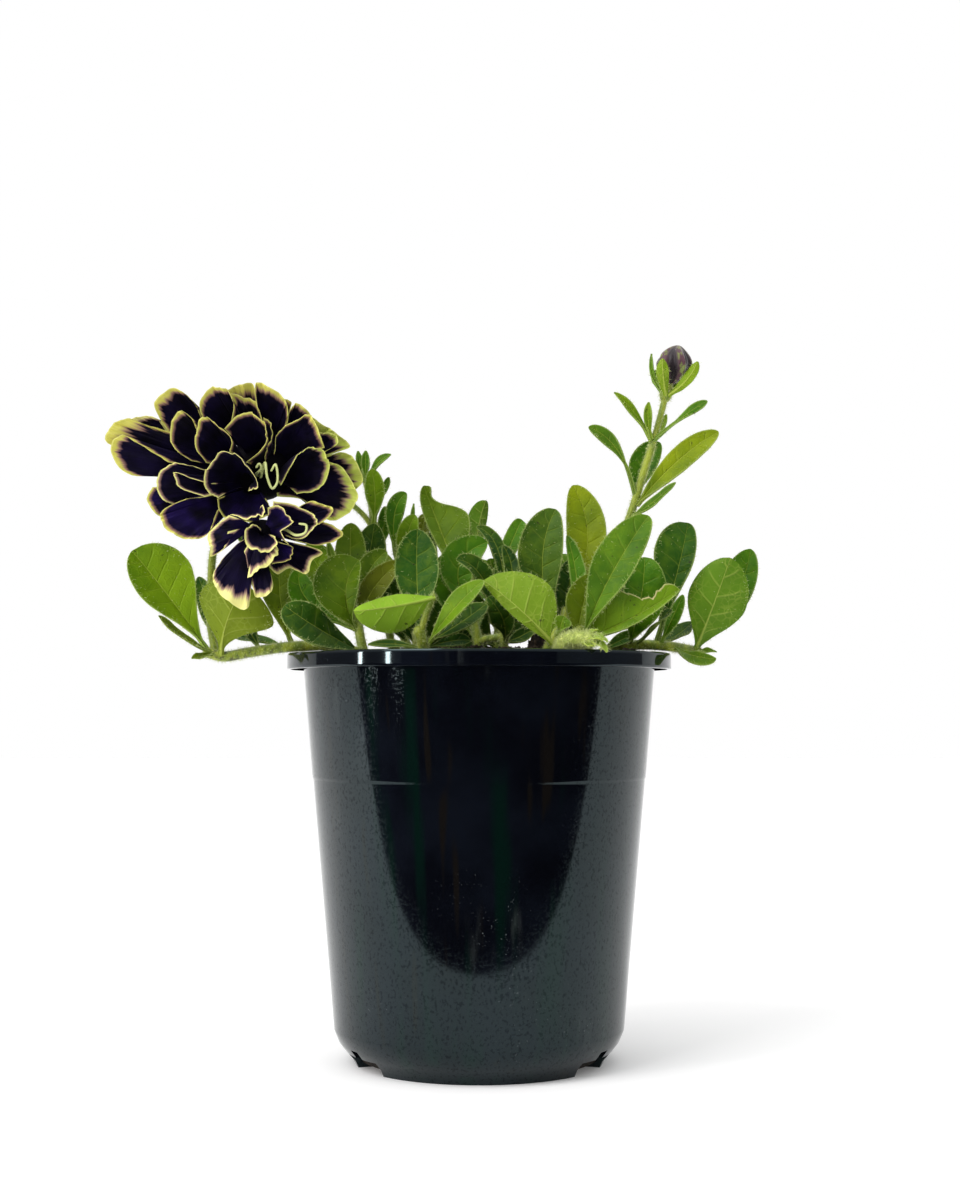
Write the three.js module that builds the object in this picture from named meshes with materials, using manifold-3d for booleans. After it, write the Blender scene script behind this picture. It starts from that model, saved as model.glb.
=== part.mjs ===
// A petunia with two double blooms and a bud, growing in a 14 cm nursery pot.
// Units are millimetres, +Z is up, the front of the plant faces -Y, and the origin is the centre of
// the pot's underside.
import * as THREE from 'three';
import { mergeVertices } from 'three/addons/utils/BufferGeometryUtils.js';
import Module from 'manifold-3d';

const wasm = await Module();
wasm.setup();

// Driving dimensions of the pot and the soil.
const RIM_RADIUS = 70;
const POT_HEIGHT = 147;
const RIM_BAND = 5.8;
const WALL = 1.4;
const MOULD_LINE_Z = 102;
const WALL_RADIUS_TOP = 64.3;
const WALL_RADIUS_MOULD = 60.6;
const WALL_RADIUS_LOW = 52.9;
const FOOT_RADIUS = 44.8;
const POT_SIDES = 36;
const GAP = 0.3;
const HOLE_SLACK = 0.3;

// The raised channels between the three feet, and the drain slot at the end of each.
const CHANNEL_ANGLES = [-60, 60, 180];
const CHANNEL_HEIGHT = 5;
const CHANNEL_HALF_ANGLE = 12.5;
const CHANNEL_INNER_RADIUS = 27;
const DRAIN_WIDTH = 5;
const DRAIN_HEIGHT = 3;

// The soil's top.
const SOIL_EDGE_Z = 142;
const SOIL_CROWN_Z = 147.5;
const SOIL_SIDES = 24;
const SOIL_BUMP = 0.7;

// Leaves, petals and stems.
const LEAF_THICK = 0.65;
const LEAF_NECK = 0.8;
const LEAF_TIP = 0.35;
const PETAL_THICK = 0.65;
const FLAT_PETAL = 1.2;
const CLAW = 0.14;
const ROOT_DRAW = 0.2;
const TUBE_RADIUS = 1.8;
const CALYX_RADIUS = 2.7;
const SEPALS = 5;
const STEM_SIDES = 5;

const deg = THREE.MathUtils.degToRad;

const FINISH = {
  pot: { color: 0x0b0e10, roughness: 0.22 },
  soil: { color: 0x17110c, roughness: 0.95 },
  leaf: { color: 0x4f8a1c, roughness: 0.6 },
  stub: { color: 0xc7d36a, roughness: 0.7 },
  petal: { color: 0x150a2e, roughness: 0.55 },
};

function material(finish) {
  return new THREE.MeshStandardMaterial({ ...FINISH[finish], metalness: 0 });
}

// Solids

function solidOf(geometry) {
  const bare = geometry.index ? geometry.toNonIndexed() : geometry.clone();
  bare.deleteAttribute('normal');
  bare.deleteAttribute('uv');
  const merged = mergeVertices(bare, 1e-4);
  const kept = [];
  const index = merged.index.array;
  for (let i = 0; i < index.length; i += 3) {
    const [a, b, c] = [index[i], index[i + 1], index[i + 2]];
    if (a !== b && b !== c && c !== a) kept.push(a, b, c);
  }
  return new wasm.Manifold(
    new wasm.Mesh({
      numProp: 3,
      vertProperties: merged.attributes.position.array,
      triVerts: new Uint32Array(kept),
    }),
  );
}

// Solids fused into one, with any hollow that the fusing seals filled.
function joined(solids) {
  const whole = solids.reduce((sum, piece) => sum.add(piece));
  const bodies = whole.decompose().filter((body) => body.volume() > 0);
  return bodies.reduce((sum, body) => sum.add(body));
}

function meshOf(name, solid, finish) {
  const mesh = solid.getMesh();
  const geometry = new THREE.BufferGeometry();
  geometry.setAttribute('position', new THREE.BufferAttribute(mesh.vertProperties, 3));
  geometry.setIndex(new THREE.BufferAttribute(mesh.triVerts, 1));
  geometry.computeVertexNormals();
  const made = new THREE.Mesh(geometry, material(finish));
  made.name = name;
  return made;
}

function vector(point) {
  return new THREE.Vector3(...point);
}

// A closed blade: a surface sampled at the given stations, thickened along its own normals. Its two
// faces are split into triangles alike.
function blade(surface, along, across, thicknessAt) {
  const step = 1e-3;
  const rows = along.length;
  const columns = across.length;
  const tops = [];
  const bottoms = [];
  for (const t of along) {
    for (const c of across) {
      const point = surface(t, c);
      const t0 = Math.max(t - step, 0);
      const t1 = Math.min(t + step, 1);
      const lengthwise = surface(t1, c).sub(surface(t0, c));
      const crosswise = surface(t, Math.min(c + step, 1)).sub(surface(t, Math.max(c - step, -1)));
      const normal = crosswise.cross(lengthwise).normalize();
      const half = thicknessAt(t) / 2;
      tops.push(point.clone().addScaledVector(normal, half));
      bottoms.push(point.clone().addScaledVector(normal, -half));
    }
  }
  const points = [...tops, ...bottoms];
  const under = tops.length;
  const index = [];
  const at = (r, c) => r * columns + c;
  for (let r = 0; r + 1 < rows; r += 1) {
    for (let c = 0; c + 1 < columns; c += 1) {
      const corners = [at(r, c), at(r, c + 1), at(r + 1, c + 1), at(r + 1, c)];
      const [p, q, s, u] = corners;
      if (c < (columns - 1) / 2) index.push(p, q, s, p, s, u);
      else index.push(p, q, u, q, s, u);
      const [a, b, d, e] = corners.map((corner) => corner + under);
      if (c < (columns - 1) / 2) index.push(a, d, b, a, e, d);
      else index.push(a, e, b, b, e, d);
    }
  }
  const wall = (a, b) => index.push(a, a + under, b, b, a + under, b + under);
  for (let c = 0; c + 1 < columns; c += 1) {
    wall(at(0, c), at(0, c + 1));
    wall(at(rows - 1, c + 1), at(rows - 1, c));
  }
  for (let r = 0; r + 1 < rows; r += 1) {
    wall(at(r + 1, 0), at(r, 0));
    wall(at(r, columns - 1), at(r + 1, columns - 1));
  }
  const geometry = new THREE.BufferGeometry();
  const flat = points.flatMap((point) => point.toArray());
  geometry.setAttribute('position', new THREE.Float32BufferAttribute(flat, 3));
  geometry.setIndex(index);
  return solidOf(geometry);
}

// A round stem along a smooth curve through its points.
function stalk(points, radius, sides = STEM_SIDES) {
  const curve = new THREE.CatmullRomCurve3(points.map(vector));
  const section = new THREE.Shape();
  for (let i = 0; i < sides; i += 1) {
    const angle = (2 * Math.PI * i) / sides;
    const corner = [radius * Math.cos(angle), radius * Math.sin(angle)];
    if (i === 0) section.moveTo(...corner);
    else section.lineTo(...corner);
  }
  const steps = Math.max(2, points.length);
  const tube = new THREE.ExtrudeGeometry(section, { steps, bevelEnabled: false, extrudePath: curve });
  const solid = solidOf(tube);
  return solid;
}

// Leaves

// A leaf runs along a curve through its base, middle and tip. left and right are its half-widths as
// seen looking at its upper side, and face is the way that the upper side looks.
function leaf(base, middle, tip, left, right, face, extra = {}) {
  return { spine: [base, middle, tip], half: [left, right], face, ...extra };
}

function curveThrough([a, b, c], t) {
  const [start, middle, end] = [vector(a), vector(b), vector(c)];
  return start
    .multiplyScalar(2 * (t - 0.5) * (t - 1))
    .addScaledVector(middle, 4 * t * (1 - t))
    .addScaledVector(end, 2 * t * (t - 0.5));
}

// Narrow towards the stem, then blunt: the share of the full width at t.
function leafOutline(t, widest, wedge = 1.15) {
  const power = Math.log(0.5) / Math.log(widest);
  const swell = Math.max(Math.sin(Math.PI * t ** power), 0);
  return swell ** (t < widest ? wedge : 0.52);
}

function leafSurface({ spine, half, face, fold = [14, 14], widest = 0.58, wedge, bite }) {
  return (t, c) => {
    const centre = curveThrough(spine, t);
    const ahead = curveThrough(spine, Math.min(t + 0.01, 1)).sub(curveThrough(spine, t - 0.01));
    ahead.normalize();
    const up = vector(face);
    up.addScaledVector(ahead, -up.dot(ahead)).normalize();
    const side = ahead.clone().cross(up);
    const right = c > 0 ? 1 : 0;
    let wide = half[right] * leafOutline(t, widest, wedge);
    if (bite && bite.side === right) {
      wide *= 1 - bite.depth * Math.exp(-(((t - bite.at) / bite.long) ** 2));
    }
    const neck = LEAF_NECK + (LEAF_TIP - LEAF_NECK) * t;
    const reach = Math.abs(c) * Math.max(wide, neck);
    const lift = deg(fold[right]) * (0.5 + 0.5 * Math.abs(c));
    const ripple = 0.35 * c * c * leafOutline(t, 0.5) * Math.sin(9 * t + spine[0][0] + 2 * right);
    return centre
      .addScaledVector(side, Math.sign(c) * reach * Math.cos(lift))
      .addScaledVector(up, reach * Math.sin(lift) + ripple);
  };
}

const LONG_LEAF = 22;
const SHORT_LEAF = 13;
const WIDE_LEAF = 16.5;
const NARROW_LEAF = 4;

function leafBlade(data) {
  const length = vector(data.spine[0]).distanceTo(vector(data.spine[2]));
  const width = data.half[0] + data.half[1];
  let along = [0, 0.28, 0.58, 0.87, 1];
  if (length < LONG_LEAF) along = [0, 0.4, 0.8, 1];
  if (length < SHORT_LEAF) along = width < NARROW_LEAF ? [0, 0.6, 1] : [0, 0.45, 0.85, 1];
  const across = width < WIDE_LEAF ? [-1, 0, 1] : [-1, -0.5, 0, 0.5, 1];
  return blade(leafSurface(data), along, across, (t) => LEAF_THICK + 0.5 * (1 - t) ** 3);
}

// Upper side towards the viewer, underside towards the viewer, and upper side to the sky.
const FRONT = [0, -1, 0.25];
const BACK = [0, 1, 0.25];
const SKY = [0, -0.4, 1];

const leafyStems = {
  leafy_stem_left_trailing: {
    rooted: [{ radius: 1.9, path: [[-34, 4, 130], [-40, 2, 142], [-50, -1, 148.8], [-62, -3, 149.8],
      [-72, -4, 149.2], [-84, -5, 147.4], [-93, -6, 145.9], [-98.5, -6, 147.3]] }],
    stalks: [{ radius: 1.4, path: [[-96, -5, 147], [-98.5, -2, 160], [-98.5, 0, 172], [-98, 0.5, 183],
      [-96.5, 0.5, 190], [-93.5, -2.5, 194.2], [-91, -6.6, 195]] }],
    holds: 'bloom_lower',
    leaves: [
      leaf([-98, -6, 147.5], [-112.2, -12, 167.6], [-124.5, -17, 183.4], 9, 13.6, [0.2, -1, 0.3],
        { widest: 0.64 }),
      leaf([-97, -7, 147.5], [-106, -15, 152.2], [-114, -21, 160], 3.2, 3.2, [0.3, -0.5, 0.9]),
      leaf([-96, -7, 146.8], [-99.5, -10, 146], [-103.5, -12, 145], 2.2, 2.2, [0, -0.6, 1]),
      leaf([-93.5, -7, 146.5], [-90.5, -13, 159], [-84, -13, 172], 16, 13.5, [0.1, 1, 0.3],
        { widest: 0.66 }),
      leaf([-95, -3, 148.5], [-99, 4, 162], [-104.5, 9, 176], 4, 4, FRONT),
      leaf([-80, -4, 148.5], [-84, 1, 155], [-89, 2, 163], 2.6, 2.6, FRONT),
      leaf([-71, -2, 150], [-82, 4, 152], [-93, 7, 154.5], 4.5, 4, SKY),
      leaf([-68, -2, 149.8], [-73, 3, 165], [-74, 7, 182], 7, 7.5, FRONT, { widest: 0.72, wedge: 0.8 }),
    ],
  },
  leafy_stem_left: {
    rooted: [{ radius: 1.7, path: [[-37, -14, 130], [-40, -15, 142], [-42.5, -15, 152], [-44.5, -14, 164]] }],
    stalks: [{ radius: 1.2, path: [[-41.3, -15, 147.5], [-42.5, -17, 147.8], [-44, -19.8, 148]] }],
    leaves: [
      leaf([-43.5, -19, 147.6], [-57, -37, 155.5], [-67, -42, 162.5], 8, 6.4, [-0.2, -1, 0.5],
        { wedge: 0.6 }),
      leaf([-44, -16, 155], [-47.5, -20, 168.5], [-43, -19, 180], 12, 5.5, FRONT, { fold: [10, 30] }),
      leaf([-43, -14, 156], [-39, -14, 168.5], [-28.5, -13, 180], 5, 4.5, [0.2, -1, 0.4]),
      leaf([-44, -12, 158], [-41, -11, 174], [-33.5, -9, 184], 5, 4.5, FRONT),
      leaf([-46, -13, 160], [-47, -5, 179], [-47, -2, 195], 5.8, 6.2, FRONT, { fold: [8, 16] }),
      leaf([-44, -13, 160], [-41, -3, 178], [-38.5, 0, 195], 6.5, 6.5, FRONT),
      leaf([-46, -13, 158], [-56, -5, 174], [-64, -1, 187], 7.5, 8, FRONT),
      leaf([-45, -14, 161], [-51.5, -9, 176], [-55, -6, 188], 1.8, 1.8, FRONT),
      leaf([-45, -14, 156], [-62, -9, 166], [-65, -7, 178], 5, 5.5, FRONT),
    ],
  },
  leafy_stem_front_centre: {
    rooted: [
      { radius: 2, path: [[-17, -30, 130], [-18, -33, 142], [-20, -35, 151], [-21, -36, 154]] },
    ],
    stalks: [{ radius: 1.2, path: [[-20.5, -35.5, 151], [-19, -37, 158], [-16, -38, 166]] }],
    leaves: [
      leaf([-15.5, -38, 165.5], [-28.5, -42, 162.5], [-43, -44, 160.5], 3.6, 10.6, [0, 1, 0.35],
        { widest: 0.52, wedge: 0.9 }),
      leaf([-20, -34, 150], [-22, -24, 171], [-22, -20, 191], 8, 8.2, FRONT, { widest: 0.62 }),
      leaf([-18, -34, 149], [-9, -46, 160.5], [1.5, -45, 171], 4.6, 4.6, [-0.5, -1, 0.5]),
      leaf([-17.5, -33, 150], [-6, -37, 157], [2.5, -34, 163.5], 4.5, 4.5, [-0.3, -1, 0.6]),
      leaf([-20, -34, 148], [-29, -32, 149.4], [-39, -30, 149.4], 1.4, 1.8, [0, -1, 0.5]),
      leaf([-18.3, -34, 148], [-10, -32, 150.5], [-3, -31, 150.8], 2.8, 2.8, [0, -1, 0.5]),
    ],
  },
  leafy_stem_front_right: {
    rooted: [{ radius: 2, path: [[20, -38, 130], [22, -41, 142], [25, -45, 150], [27, -46.5, 153]] }],
    stalks: [],
    leaves: [
      leaf([25.5, -46, 149], [13, -47, 161.5], [1.5, -41, 171], 14, 3, [-0.3, 1, 0.2], { widest: 0.45 }),
      leaf([27, -46.5, 149], [27.5, -48, 154], [29, -49, 158.5], 2.8, 3.6, FRONT, { widest: 0.8 }),
    ],
  },
  leafy_stem_centre: {
    rooted: [
      { radius: 1.7, path: [[2, -14, 130], [1, -15, 142], [-1, -15, 154], [-4, -13, 166]] },
      { radius: 1.6, path: [[8, -20, 130], [8.5, -22, 142], [9, -22, 156]] },
    ],
    stalks: [{ radius: 1.3, path: [[-0.5, -15, 151], [4, -19, 152], [8.8, -22, 152.5]] }],
    leaves: [
      leaf([-3, -13, 163], [-14, 3, 192], [-20.6, 5, 209.5], 4.2, 14, FRONT,
        { fold: [12, 24], widest: 0.6, bite: { side: 1, at: 0.83, long: 0.21, depth: 0.86 } }),
      leaf([-3, -13, 164], [-1, 6, 190], [2.5, 9, 204.5], 3.5, 5, [-0.4, 1, 0.2]),
      leaf([-1, -15, 156], [11, 2, 186], [16, 7, 197], 3.4, 3.4, FRONT),
      leaf([-2, -15, 160], [-7.5, -14, 177], [3, -13, 187], 7.5, 7, [0.1, -1, 0.3]),
      leaf([-1, -14, 152], [-9, -10, 168], [-12.4, -8, 183], 7, 7.5, FRONT),
      leaf([-4, -13, 166], [-9, -9, 177], [-11, -5, 186], 3.2, 4.5, FRONT),
      leaf([8.8, -22, 155], [7.5, -9, 182], [-1, -7, 193], 3.2, 3.2, [0.3, -1, 0.5]),
      leaf([9, -21, 155], [12, -13, 174], [8.5, -10, 186], 3, 3, FRONT),
      leaf([8.5, -22, 154], [1, -28, 173], [-8, -31, 179], 4.5, 4.5, [0, -0.9, 0.6], { fold: [26, 26] }),
      leaf([9, -22, 150], [8.5, -31, 158], [3, -33, 166], 4.5, 4.5, [-0.3, -1, 0.3]),
      leaf([8.5, -21, 150.5], [14, -18, 152.4], [20, -15, 156], 2.6, 2.6, FRONT),
    ],
  },
  leafy_stem_right_front: {
    rooted: [{ radius: 2, path: [[32, -26, 130], [33, -31, 142], [34.5, -34, 150], [35, -35, 154]] }],
    stalks: [],
    leaves: [
      leaf([35.5, -36, 150], [45, -41, 172], [59, -36, 194.2], 8.6, 7.6, FRONT,
        { fold: [8, 32], widest: 0.62 }),
      leaf([34, -35, 150], [36, -33, 162], [40, -31, 174], 6.5, 6, FRONT),
      leaf([36, -35, 151], [53, -39, 158.5], [69.5, -37, 168.5], 13, 2.8, [0, -1, 0.3],
        { widest: 0.46, bite: { side: 0, at: 0.74, long: 0.2, depth: 0.72 } }),
      leaf([34, -32, 150], [35, -21, 170], [31.5, -17, 189], 2.4, 3.8, FRONT),
    ],
  },
  leafy_stem_right: {
    rooted: [{ radius: 1.8, path: [[27, -12, 130], [28, -14, 142], [29, -15, 152], [31, -14, 162]] }],
    stalks: [],
    leaves: [
      leaf([28, -15, 151], [22.6, -17, 177.5], [27.6, -14, 198.8], 9, 7.5, [-0.1, -1, 0.2],
        { widest: 0.6 }),
      leaf([31, -14, 160], [39.6, -4, 187], [34.4, 1, 209.2], 8, 7, FRONT, { widest: 0.58 }),
      leaf([29.5, -14, 154], [32, -12, 168], [33.5, -9, 181], 5.5, 5.5, FRONT),
    ],
  },
  leafy_stem_right_trailing: {
    rooted: [{ radius: 1.8, path: [[36, 2, 130], [40, 1, 142], [46, -1, 148], [57, -3, 150.2],
      [69, -4, 149.7], [80, -4, 147.6]] }],
    stalks: [],
    leaves: [
      leaf([78.5, -4.5, 147.8], [84.6, -9, 164], [91, -10, 181.5], 12, 10.2, [0.1, 1, 0.2],
        { widest: 0.58 }),
      leaf([78, -2, 148.2], [93.6, 2, 167], [100.2, 4, 186], 8.6, 5.4, FRONT),
      leaf([71, -4.5, 149.4], [77, -13, 146], [84.8, -16, 144.8], 2, 4, [0.2, -1, 0.4]),
      leaf([79, -5.8, 147.6], [82, -8, 147.8], [86, -9, 147.4], 2, 2, SKY),
      leaf([66, -4, 150.4], [69.5, -10, 159], [73.5, -12, 168], 2.2, 2.8, FRONT),
      leaf([65.5, -3.4, 150.4], [73, 3, 154], [79, 5, 159], 4.5, 4.5, SKY),
      leaf([64.5, -4, 150.6], [71.6, -9, 175.6], [76.2, -5, 194.8], 10.4, 5, FRONT, { widest: 0.66 }),
      leaf([54.5, -2.6, 150.2], [57.5, -19, 165], [59, -20, 181], 7, 9, FRONT),
      leaf([57.5, -3.2, 150.6], [64, -13, 157], [69, -14, 163], 3, 3, SKY),
      leaf([45, -1, 148], [51, -4, 151.6], [58.5, -6, 154.6], 2.6, 2.2, FRONT),
    ],
  },
  leafy_stem_back_left: {
    rooted: [{ radius: 1.5, path: [[-28, 14, 130], [-31, 14, 142], [-36, 13, 170], [-39.5, 12, 196]] }],
    stalks: [
      { radius: 1.2, path: [[-39.5, 12, 195], [-41, 12.5, 206], [-43.5, 12.5, 215]] },
      { radius: 1, path: [[-39.2, 12, 193], [-43, 12, 199], [-50, 12, 205], [-60, 12.5, 210.5],
        [-71, 12, 214], [-77.5, 10, 214.9], [-79.9, 7.3, 214.8]] },
    ],
    holds: 'bloom_upper',
    leaves: [
      leaf([-39.5, 11, 196], [-38.8, 7.5, 206.5], [-40, 6, 216], 3.8, 3.8, FRONT),
      leaf([-43, 12, 212], [-44.5, 12, 218], [-45.5, 12, 223.5], 1.4, 1.4, FRONT),
      leaf([-42.5, 11.5, 212], [-42.6, 11, 218], [-42.5, 11, 223.5], 1.7, 1.7, FRONT),
      leaf([-42, 11, 211], [-38, 11, 218.5], [-33, 11, 222], 1.8, 1.5, [-0.2, -1, 0.6]),
      leaf([-39.5, 13, 202], [-36, 15, 209], [-34, 15, 214], 1.5, 1.5, FRONT),
      leaf([-38, 13, 185], [-36, 15, 194], [-35.5, 15, 203], 2.6, 2.6, FRONT),
    ],
  },
  leafy_stem_back_centre: {
    rooted: [{ radius: 1.4, path: [[-20, 8, 130], [-22, 8, 142], [-26, 8, 165], [-31, 9, 186]] }],
    stalks: [{ radius: 1.1, path: [[-25, 8, 160], [-23, 9, 175], [-22.5, 11, 190]] }],
    leaves: [
      leaf([-31, 9, 184], [-31.5, 7.5, 199], [-27, 7, 207], 3.6, 3.6, FRONT),
      leaf([-28, 8.5, 174], [-27, 5, 189], [-23.5, 4, 198.5], 4, 4, FRONT),
      leaf([-23, 10, 182], [-21.5, 12, 193], [-20, 13, 200], 3, 3, FRONT),
      leaf([-24, 9, 178], [-25, 13, 193], [-24.6, 15, 204], 1, 1, FRONT),
      leaf([-25, 8, 164], [-19.5, 4, 178], [-18.5, 3, 192], 3.5, 3.5, FRONT),
      leaf([-21.8, 7.6, 148], [-14, 5, 160], [-8, 3, 173], 7, 7, FRONT),
      leaf([-22.5, 8, 149], [-29, 6, 163], [-35, 4, 176], 6, 6, FRONT),
    ],
  },
  flower_shoot: {
    rooted: [{ radius: 1.45, path: [[38, 6, 130], [39, 4, 142], [43, -1, 165], [50, -7, 184],
      [55.5, -10, 199], [59.5, -11, 212], [62.7, -11, 222]] }],
    stalks: [
      { radius: 1.15, path: [[62.3, -11, 220.5], [66.2, -11, 234.5], [68, -10.5, 241.5]] },
      { radius: 2.3, path: [[67.7, -10.6, 240.4], [68.4, -10.4, 243]] },
    ],
    leaves: [
      leaf([62.5, -11.5, 224], [55.5, -15, 234], [48.5, -18, 240.5], 1.9, 1.9, [0.3, -1, 0.5]),
      leaf([63, -11.5, 224], [72.5, -14, 231.5], [82.3, -16, 237.8], 2, 2.2, [-0.3, -1, 0.5],
        { widest: 0.76 }),
      leaf([62.5, -12, 224.5], [61, -14, 231], [61.3, -15, 237.5], 1.6, 1.6, FRONT),
      leaf([63, -10, 223], [66.5, -7, 229.5], [68.5, -6, 234.5], 1.2, 1.2, FRONT),
      leaf([57, -10.5, 202], [50.5, -15, 219], [39.3, -18, 228], 2.8, 2.8, [-0.3, -1, 0.4],
        { widest: 0.76 }),
      leaf([57, -9, 202], [60, -5, 214.5], [66.5, -3, 224.5], 6, 4.5, FRONT),
      leaf([57, -11, 200.5], [71.5, -15, 216], [86, -18, 226.3], 4.6, 5.4, [-0.1, -1, 0.4], { wedge: 0.8 }),
      leaf([55.5, -11, 196.5], [62.5, -15, 201], [70.5, -18, 208], 2.2, 2.4, [-0.3, -0.8, 0.8],
        { wedge: 0.7 }),
      leaf([67.8, -12, 240.5], [66.4, -16.3, 246.5], [66.2, -17, 253], 2.2, 2.4, [0, 1, 0.2],
        { widest: 0.6, wedge: 0.6 }),
      leaf([68.7, -12, 240.5], [75, -15, 245.5], [79, -15, 252.3], 2, 2.4, [0.2, 1, -0.2],
        { widest: 0.62, wedge: 0.6 }),
      leaf([67.3, -10, 241.5], [63.5, -8.5, 248], [63, -8, 256.5], 0.9, 0.9, FRONT),
      leaf([68.5, -9, 241.5], [72.5, -4.5, 247], [74.5, -3.5, 253], 2.2, 2.2, [0, -1, 0.2],
        { widest: 0.65 }),
      leaf([67.5, -9, 241.5], [65.5, -5, 246], [65, -3, 251.5], 2, 2, [0, -1, 0.2], { widest: 0.65 }),
    ],
  },
  leafy_stem_rear_left: {
    rooted: [{ radius: 1.7, path: [[-20, 32, 130], [-23, 34, 142], [-28, 37, 152], [-32, 39, 162]] }],
    stalks: [],
    leaves: [
      leaf([-30, 38, 157], [-45, 44, 166], [-60, 47, 176], 7, 7, [0.2, 0.9, 0.7]),
      leaf([-31, 38, 159], [-36, 46, 174], [-42, 48, 190], 7.5, 7.5, [-0.2, 1, 0.3]),
      leaf([-31, 38, 160], [-24, 42, 174], [-19, 42, 188], 6, 6, [0.2, 1, 0.3]),
      leaf([-29, 37, 154], [-26, 50, 160], [-30, 63, 164], 7, 7, [0, 0.5, 1]),
      leaf([-26.2, 36, 149.5], [-12, 42, 156], [-6, 52, 160], 5, 5, [-0.2, 0.6, 1]),
      leaf([-27.5, 36.5, 151], [-35, 33, 166], [-42, 30, 181], 7, 7, FRONT),
    ],
  },
  leafy_stem_rear_centre: {
    rooted: [{ radius: 1.7, path: [[4, 26, 130], [5, 29, 142], [7, 32, 154], [8, 34, 168]] }],
    stalks: [],
    leaves: [
      leaf([8, 33, 164], [4, 40, 175], [-4, 46, 184], 6.5, 6.5, [0, 1, 0.5]),
      leaf([8, 33, 165], [13, 40, 174], [16, 49, 181], 6, 6, [0, 1, 0.6]),
      leaf([7, 32, 156], [8, 46, 163], [9, 62, 168], 7.5, 7.5, [0, 0.5, 1]),
      leaf([7, 31, 152], [20, 36, 159], [30, 45, 166], 6, 6, [0, 0.7, 1]),
      leaf([8, 33, 166], [6, 27, 176], [4, 24, 184], 4.5, 4.5, [0, 1, 0.3]),
      leaf([7, 30.5, 150], [-3, 28, 161], [-9, 28, 175], 8, 8, FRONT),
      leaf([6, 29.5, 148.5], [-4, 24, 153], [-13, 20, 158.5], 5, 5, FRONT),
      leaf([6, 29.5, 148.5], [-4, 24, 153], [-13, 20, 158.5], 5, 5, FRONT),
      leaf([7, 30.5, 151], [14, 26, 163], [20, 24, 178], 7.5, 7.5, FRONT),
    ],
  },
  leafy_stem_rear_right: {
    rooted: [{ radius: 1.7, path: [[30, 20, 130], [33, 21, 142], [39, 22, 153], [43, 23, 166]] }],
    stalks: [],
    leaves: [
      leaf([42, 23, 162], [50, 26, 175], [56, 24, 189], 7, 7, [0.5, 1, 0.3]),
      leaf([42, 23, 161], [44, 36, 170], [42, 46, 181], 7, 7, [0.1, 1, 0.6]),
      leaf([41, 22.5, 157], [57, 28, 163], [71, 33, 170], 7, 7, [0, 0.6, 1]),
      leaf([39, 22, 153], [50, 40, 156], [55, 52, 158], 6.5, 6.5, [0.2, 0.5, 1]),
      leaf([43, 23, 164], [36, 26, 176], [31, 28, 186], 6, 6, [-0.2, 1, 0.3]),
      leaf([38, 21.6, 151], [33, 19, 164], [28, 17, 178], 7, 7, FRONT),
      leaf([41, 22, 155], [52, 17, 163], [60, 15, 173], 6.5, 6.5, FRONT),
    ],
  },
};

// Petals

// A petal fans out from its root to its margin, a smooth curve through the listed points, and bulges
// between them. Its points are measured in its bloom's own frame: right, up and forward.
function petal(root, margin, bulge = 1.2) {
  return { root, margin, bulge };
}

function petalSurface({ root, margin, bulge }, heart) {
  const edge = new THREE.CatmullRomCurve3(margin.map(vector), false, 'centripetal');
  const start = vector(root).lerp(vector(heart.at), ROOT_DRAW);
  const middle = edge.getPoint(0.5).sub(start);
  const chord = edge.getPoint(1).sub(edge.getPoint(0));
  const normal = chord.cross(middle).normalize();
  return (r, c) => {
    const s = (c + 1) / 2;
    const outward = edge.getPoint(Math.min(Math.max(s, 0), 1)).sub(start);
    const claw = CLAW + (1 - CLAW) * r;
    const swell = -bulge * 4 * r * (1 - r) * (1 - c * c * 0.6);
    return start.clone().addScaledVector(outward, claw).addScaledVector(normal, swell);
  };
}

function petalBlade(data, heart) {
  const spans = data.margin.length - 1;
  const across = Array.from({ length: spans + 1 }, (unused, i) => (2 * i) / spans - 1);
  const along = data.bulge > FLAT_PETAL ? [0, 0.5, 1] : [0, 1];
  return blade(petalSurface(data, heart), along, across, () => PETAL_THICK);
}

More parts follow.
